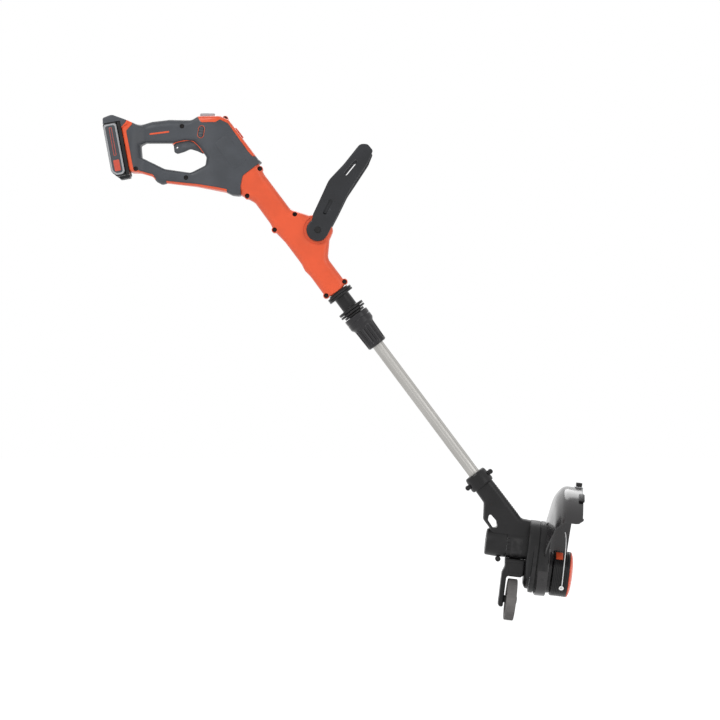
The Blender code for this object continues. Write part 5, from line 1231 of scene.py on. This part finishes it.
def makeBlade():
    # flat outlines laid round the spindle at the outside of the guard
    outer = guardLook["radius"] + clearance
    blade = plate(rectangle(30.0, 44.8, -14.0, 14.0, 1), 0.75, 0.2, "head", middle=0.75, bend=(outer, 0.0))
    join(blade, plate(rectangle(-14.0, 14.0, outer - 11.5, outer + 1.0, 1), 0.7, 0.1, "head", "x", 44.3))
    dress(blade, "lineBlade", "steel", "lower_shaft", "line_blade")
    clip = plate(rectangle(32.0, 43.0, -9.0, 9.0, 2), 3.6, 1.2, "head", middle=5.3, bend=(outer, 0.0))
    dress(clip, "bladeClip", "blackPlastic", "lower_shaft")
    guide = plate(rectangle(34.5, 45.0, -13.0, 13.0, 3), 2.2, 1.0, "head", middle=1.6, bend=(outer, 27.0))
    dress(guide, "guardClip", "blackPlastic", "lower_shaft")
    foot, top = headLook["gearEnd"] - 2.5, guardLook["plateAt"] + guardLook["wall"] + clearance
    profile = ((foot, 0, 0), (foot, 1.6, 0), (top, 1.6, 0), (top, 4.0, 0), (top + 1.5, 4.0, 0.8),
               (top + 2.4, 3.0, 0.6), (top + 2.4, 0, 0))
    screw = turned(profile, "head", "x", (18.0, 70.0), 40, closed=False)
    dress(screw, "guardScrew", "steel", "lower_shaft", "guard_screw")


makeGuard()
makeBlade()
print("guard made")

# Edge wheel

wheelLook = {
    "radius": 40.0, "drop": -59.0, "start": -73.0, "width": 18.5, "axle": 4.0, "treads": 40, "windows": 5,
    "hollow": ((-79.5, 11, 2), (-56, 11, 2), (-51, -8, 3), (-74, -9.5, 3)),
}


def makeFork():
    # an outline with a thickness, hollowed on both sides; the axle is a profile carried round
    look = wheelLook
    axle, drop = look["axle"], look["drop"]
    start, end = look["start"] - clearance, look["start"] + look["width"]
    fork = plate(headLook["fork"], 15.0, 2.4, "head", steps=5)
    carve(fork, rod(axle + clearance, -92, -66, "head", "x", (0, drop)),
          *(plate(look["hollow"], 1.4, 0.6, "head", middle=side * 15.2) for side in (-1, 1)))
    dress(fork, "wheelFork", "blackPlastic", "lower_shaft", "wheel_fork")
    profile = ((-85.7, 0, 0), (-85.7, axle, 0.6), (-76.9, axle, 0), (-76.9, 7, 0.6),
               (start, 7, 0), (start, axle, 0), (end + clearance, axle, 0), (end + clearance, 6.5, 0),
               (end + 2.5, 6.5, 1), (end + 2.5, 0, 0))
    pin = turned(profile, "head", "x", (0, drop), 64, closed=False)
    dress(pin, "wheelAxle", "blackPlastic", "lower_shaft", "wheel_axle")


def makeWheel():
    # half a profile and its mirror image, carried round the axle
    look = wheelLook
    start, end, radius, drop = look["start"], look["start"] + look["width"], look["radius"], look["drop"]
    flat = radius - 1.1
    half = ((0, 4.3, 0), (0, 11, 0.8), (3.5, 12.5, 1.2), (3.5, radius - 12, 1.5), (0.3, radius - 10.5, 1.2),
            (0.3, flat, 3.2), (4.5, flat, 0))
    points = roundedOutline((*((start + step, high, edge) for step, high, edge in half),
                             *((end - step, high, edge) for step, high, edge in half[::-1])), True, 10.0)

    def tread(along, angle):
        # a sixth power of a cosine round the rim, fading towards its edges, and only on the outer skin
        middle = np.exp(-((along - start - look["width"] / 2) / 6.0) ** 6)
        waves = (0.5 + 0.5 * np.cos(look["treads"] * angle)) ** 6
        return -0.6 * middle * waves * (points[:, 1:] > radius - 6)

    wheel = turned(points, "head", "x", (0, drop), 320, wave=tread)
    for step in range(look["windows"]):
        turn = 2 * math.pi * step / look["windows"]
        spot = (19.0 * math.sin(turn), drop + 19.0 * math.cos(turn))
        carve(wheel, rod(4.6, start - 2, end + 2, "head", "x", spot, 40))
    dress(wheel, "edgeWheel", "wheelPlastic", "wheel", "edge_wheel")


makeFork()
makeWheel()
print("wheel made")

# Spool

spoolLook = {
    "start": 5.8, "end": 36.5, "radius": 42.5, "wall": 2.5, "floor": 3.2, "bore": 4.3, "groove": 9.0,
    "grooveStep": 3.2, "grooves": 8, "tab": 13.0, "tabLong": 20.0, "tabMiddle": 15.8,
    "tabTurns": {"Near": 35.0, "Far": 215.0},
    "eyeletRing": (
        (-3, 1.5, 0), (-3, 3.4, 0), (0.35, 3.4, 0), (0.35, 5, 0.4), (1.8, 4.6, 0.8), (2.1, 2.6, 0.8),
        (1.4, 1.5, 0.5)),
    "eyelet": (25.3, 124.0), "reel": 36.8, "core": 13.0, "hub": 6.5, "dome": 7.5, "knurls": 36,
}


def spindleTurn(degrees):
    # a turn about the spindle, as a matrix in the object's own frame
    origin, along, _ = (Vector(value) for value in localFrames["head"])
    toHead = Matrix.Translation(origin * mm)
    return toHead @ Matrix.Rotation(math.radians(degrees), 4, along) @ toHead.inverted()


def makeSpool():
    # a cup carried round the spindle, its wall grooved; tabs and eyelet are turned to their places on it
    look = spoolLook
    start, end, radius, bore = look["start"], look["end"], look["radius"], look["bore"]
    inner, floor = radius - look["wall"], start + look["floor"]
    corners = [(start, bore, 0), (start, radius - 1.5, 2.0)]
    for index in range(look["grooves"]):
        middle = look["groove"] + index * look["grooveStep"]
        corners += [(middle - 0.7, radius, 0.3), (middle - 0.35, radius - 0.8, 0.2),
                    (middle + 0.35, radius - 0.8, 0.2), (middle + 0.7, radius, 0.3)]
    corners += [(end, radius, 0.8), (end, inner, 0), (floor, inner, 0), (floor, bore, 0)]
    housing = turned(corners, "head", "x", steps=160)
    half, long, mid = look["tab"] / 2, look["tabLong"] / 2, look["tabMiddle"]
    for tag, turn in look["tabTurns"].items():
        x, y = (mid - half - clearance, mid + half + clearance), (-long - clearance, long + clearance)
        room = block(x, y, (inner - 4, radius + 4), "head")
        room.data.transform(spindleTurn(turn))
        carve(housing, room)
        dense = evenly(roundedOutline(rectangle(mid - half, mid + half, -long, long, 2)), 120)
        tab = plate(dense, 1.7, 0.6, "head", middle=-0.9, bend=(radius, turn))
        dress(tab, f"releaseTab{tag}", "orangePlastic", f"tab_{tag.lower()}", f"release_tab_{tag.lower()}")
    place, turn = look["eyelet"]
    hole = rod(3.7, inner - 5, radius + 3, "head", "z", (place, 0))
    profile = tuple((radius + high, *rest) for high, *rest in look["eyeletRing"])
    eye = turned(profile, "head", "z", (place, 0), 48)
    for piece in (hole, eye):
        piece.data.transform(spindleTurn(turn))
    dress(carve(housing, hole), "spoolHousing", "blackPlastic", "spool", "spool_housing")
    dress(eye, "lineEyelet", "eyeletMetal", "spool", "line_eyelet")


def makeReel():
    # a drum between two discs, carried round the spindle
    look = spoolLook
    first, last = look["start"] + look["floor"] + clearance, look["end"] - 3.5
    hub, core, radius = look["hub"], look["core"], look["reel"]
    reel = ((first, hub, 0), (first, radius, 0.5), (first + 1.6, radius, 0.5), (first + 1.6, core, 0),
            (last - 1.6, core, 0), (last - 1.6, radius, 0.5), (last, radius, 0.5), (last, hub, 0))
    dress(turned(reel, "head", steps=120), "lineReel", "blackPlastic", "reel", "line_spool")
    # the wound line's top layer: half a sine for each turn
    low, high = first + 1.9, last - 1.9
    turns = round((high - low) / lineLook["diameter"])
    heights = radius - 5.9 + 0.8 * np.abs(np.sin(np.linspace(0, math.pi * turns, 200)))
    wound = np.stack((np.linspace(low, high, 200), heights), 1)
    wound = np.vstack(([low, core + clearance], wound, [high, core + clearance]))
    dress(turned(wound, "head", steps=120), "woundLine", "whiteLine", "reel", "wound_line", sharp=60)


def makeCap():
    # a domed profile carried round the spindle
    look = spoolLook
    first, start, radius = look["start"] + look["floor"] + clearance, look["end"] + clearance, look["radius"]
    inner, hub = radius - look["wall"] - clearance, look["hub"] - clearance
    cap = ((first + 6, 0, 0), (first + 6, hub, 0), (start - 3, hub, 0), (start - 3, inner, 0.4),
           (start, inner, 0), (start, radius - 0.3, 0.5), (start + 2.2, radius - 0.6, 1.6),
           (start + 5.6, radius - 8.5, 6), (start + 6.9, radius - 19, 12),
           (start + look["dome"], 8, 12), (start + look["dome"], 0, 0))
    points = roundedOutline(cap, False, 8.0)
    onRim = (points[:, 0] > start + 0.4) & (points[:, 1] > 33)

    def knurl(along, angle):
        # the fourth power of a cosine, round the rim only
        return -0.9 * onRim[:, None] * (0.5 + 0.5 * np.cos(look["knurls"] * angle)) ** 4

    piece = turned(points, "head", steps=288, wave=knurl, closed=False)
    carve(piece, rod(look["bore"], 0, 14.3, "head", "x"))
    dress(piece, "spoolCap", "capOrange", "cap", "spool_cap", sharp=40)


makeSpool()
makeReel()
makeCap()
print("spool made")

# What stays as the model has it

innerFinishes = {
    "switch_module": "blackPlastic", "control_board": "lightGrey", "trigger_spring": "steel",
    "trigger_pin": "steel", "terminal_block": "blackPlastic", "cell_pack": "cellMetal",
    "motor_can": "steel", "motor_shaft": "steel", "output_gear": "steel", "bearing_upper": "steel",
    "bearing_lower": "steel",
}
for nodeName, finishName in innerFinishes.items():
    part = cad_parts[nodeName]
    if not part.material_slots:
        part.data.materials.append(finishes[finishName])
    for materialSlot in part.material_slots:
        materialSlot.material = finishes[finishName]
leftOver = [name for name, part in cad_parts.items()
            if not part.hide_render and name not in innerFinishes]
print("nodes still shown without a finish:", leftOver)
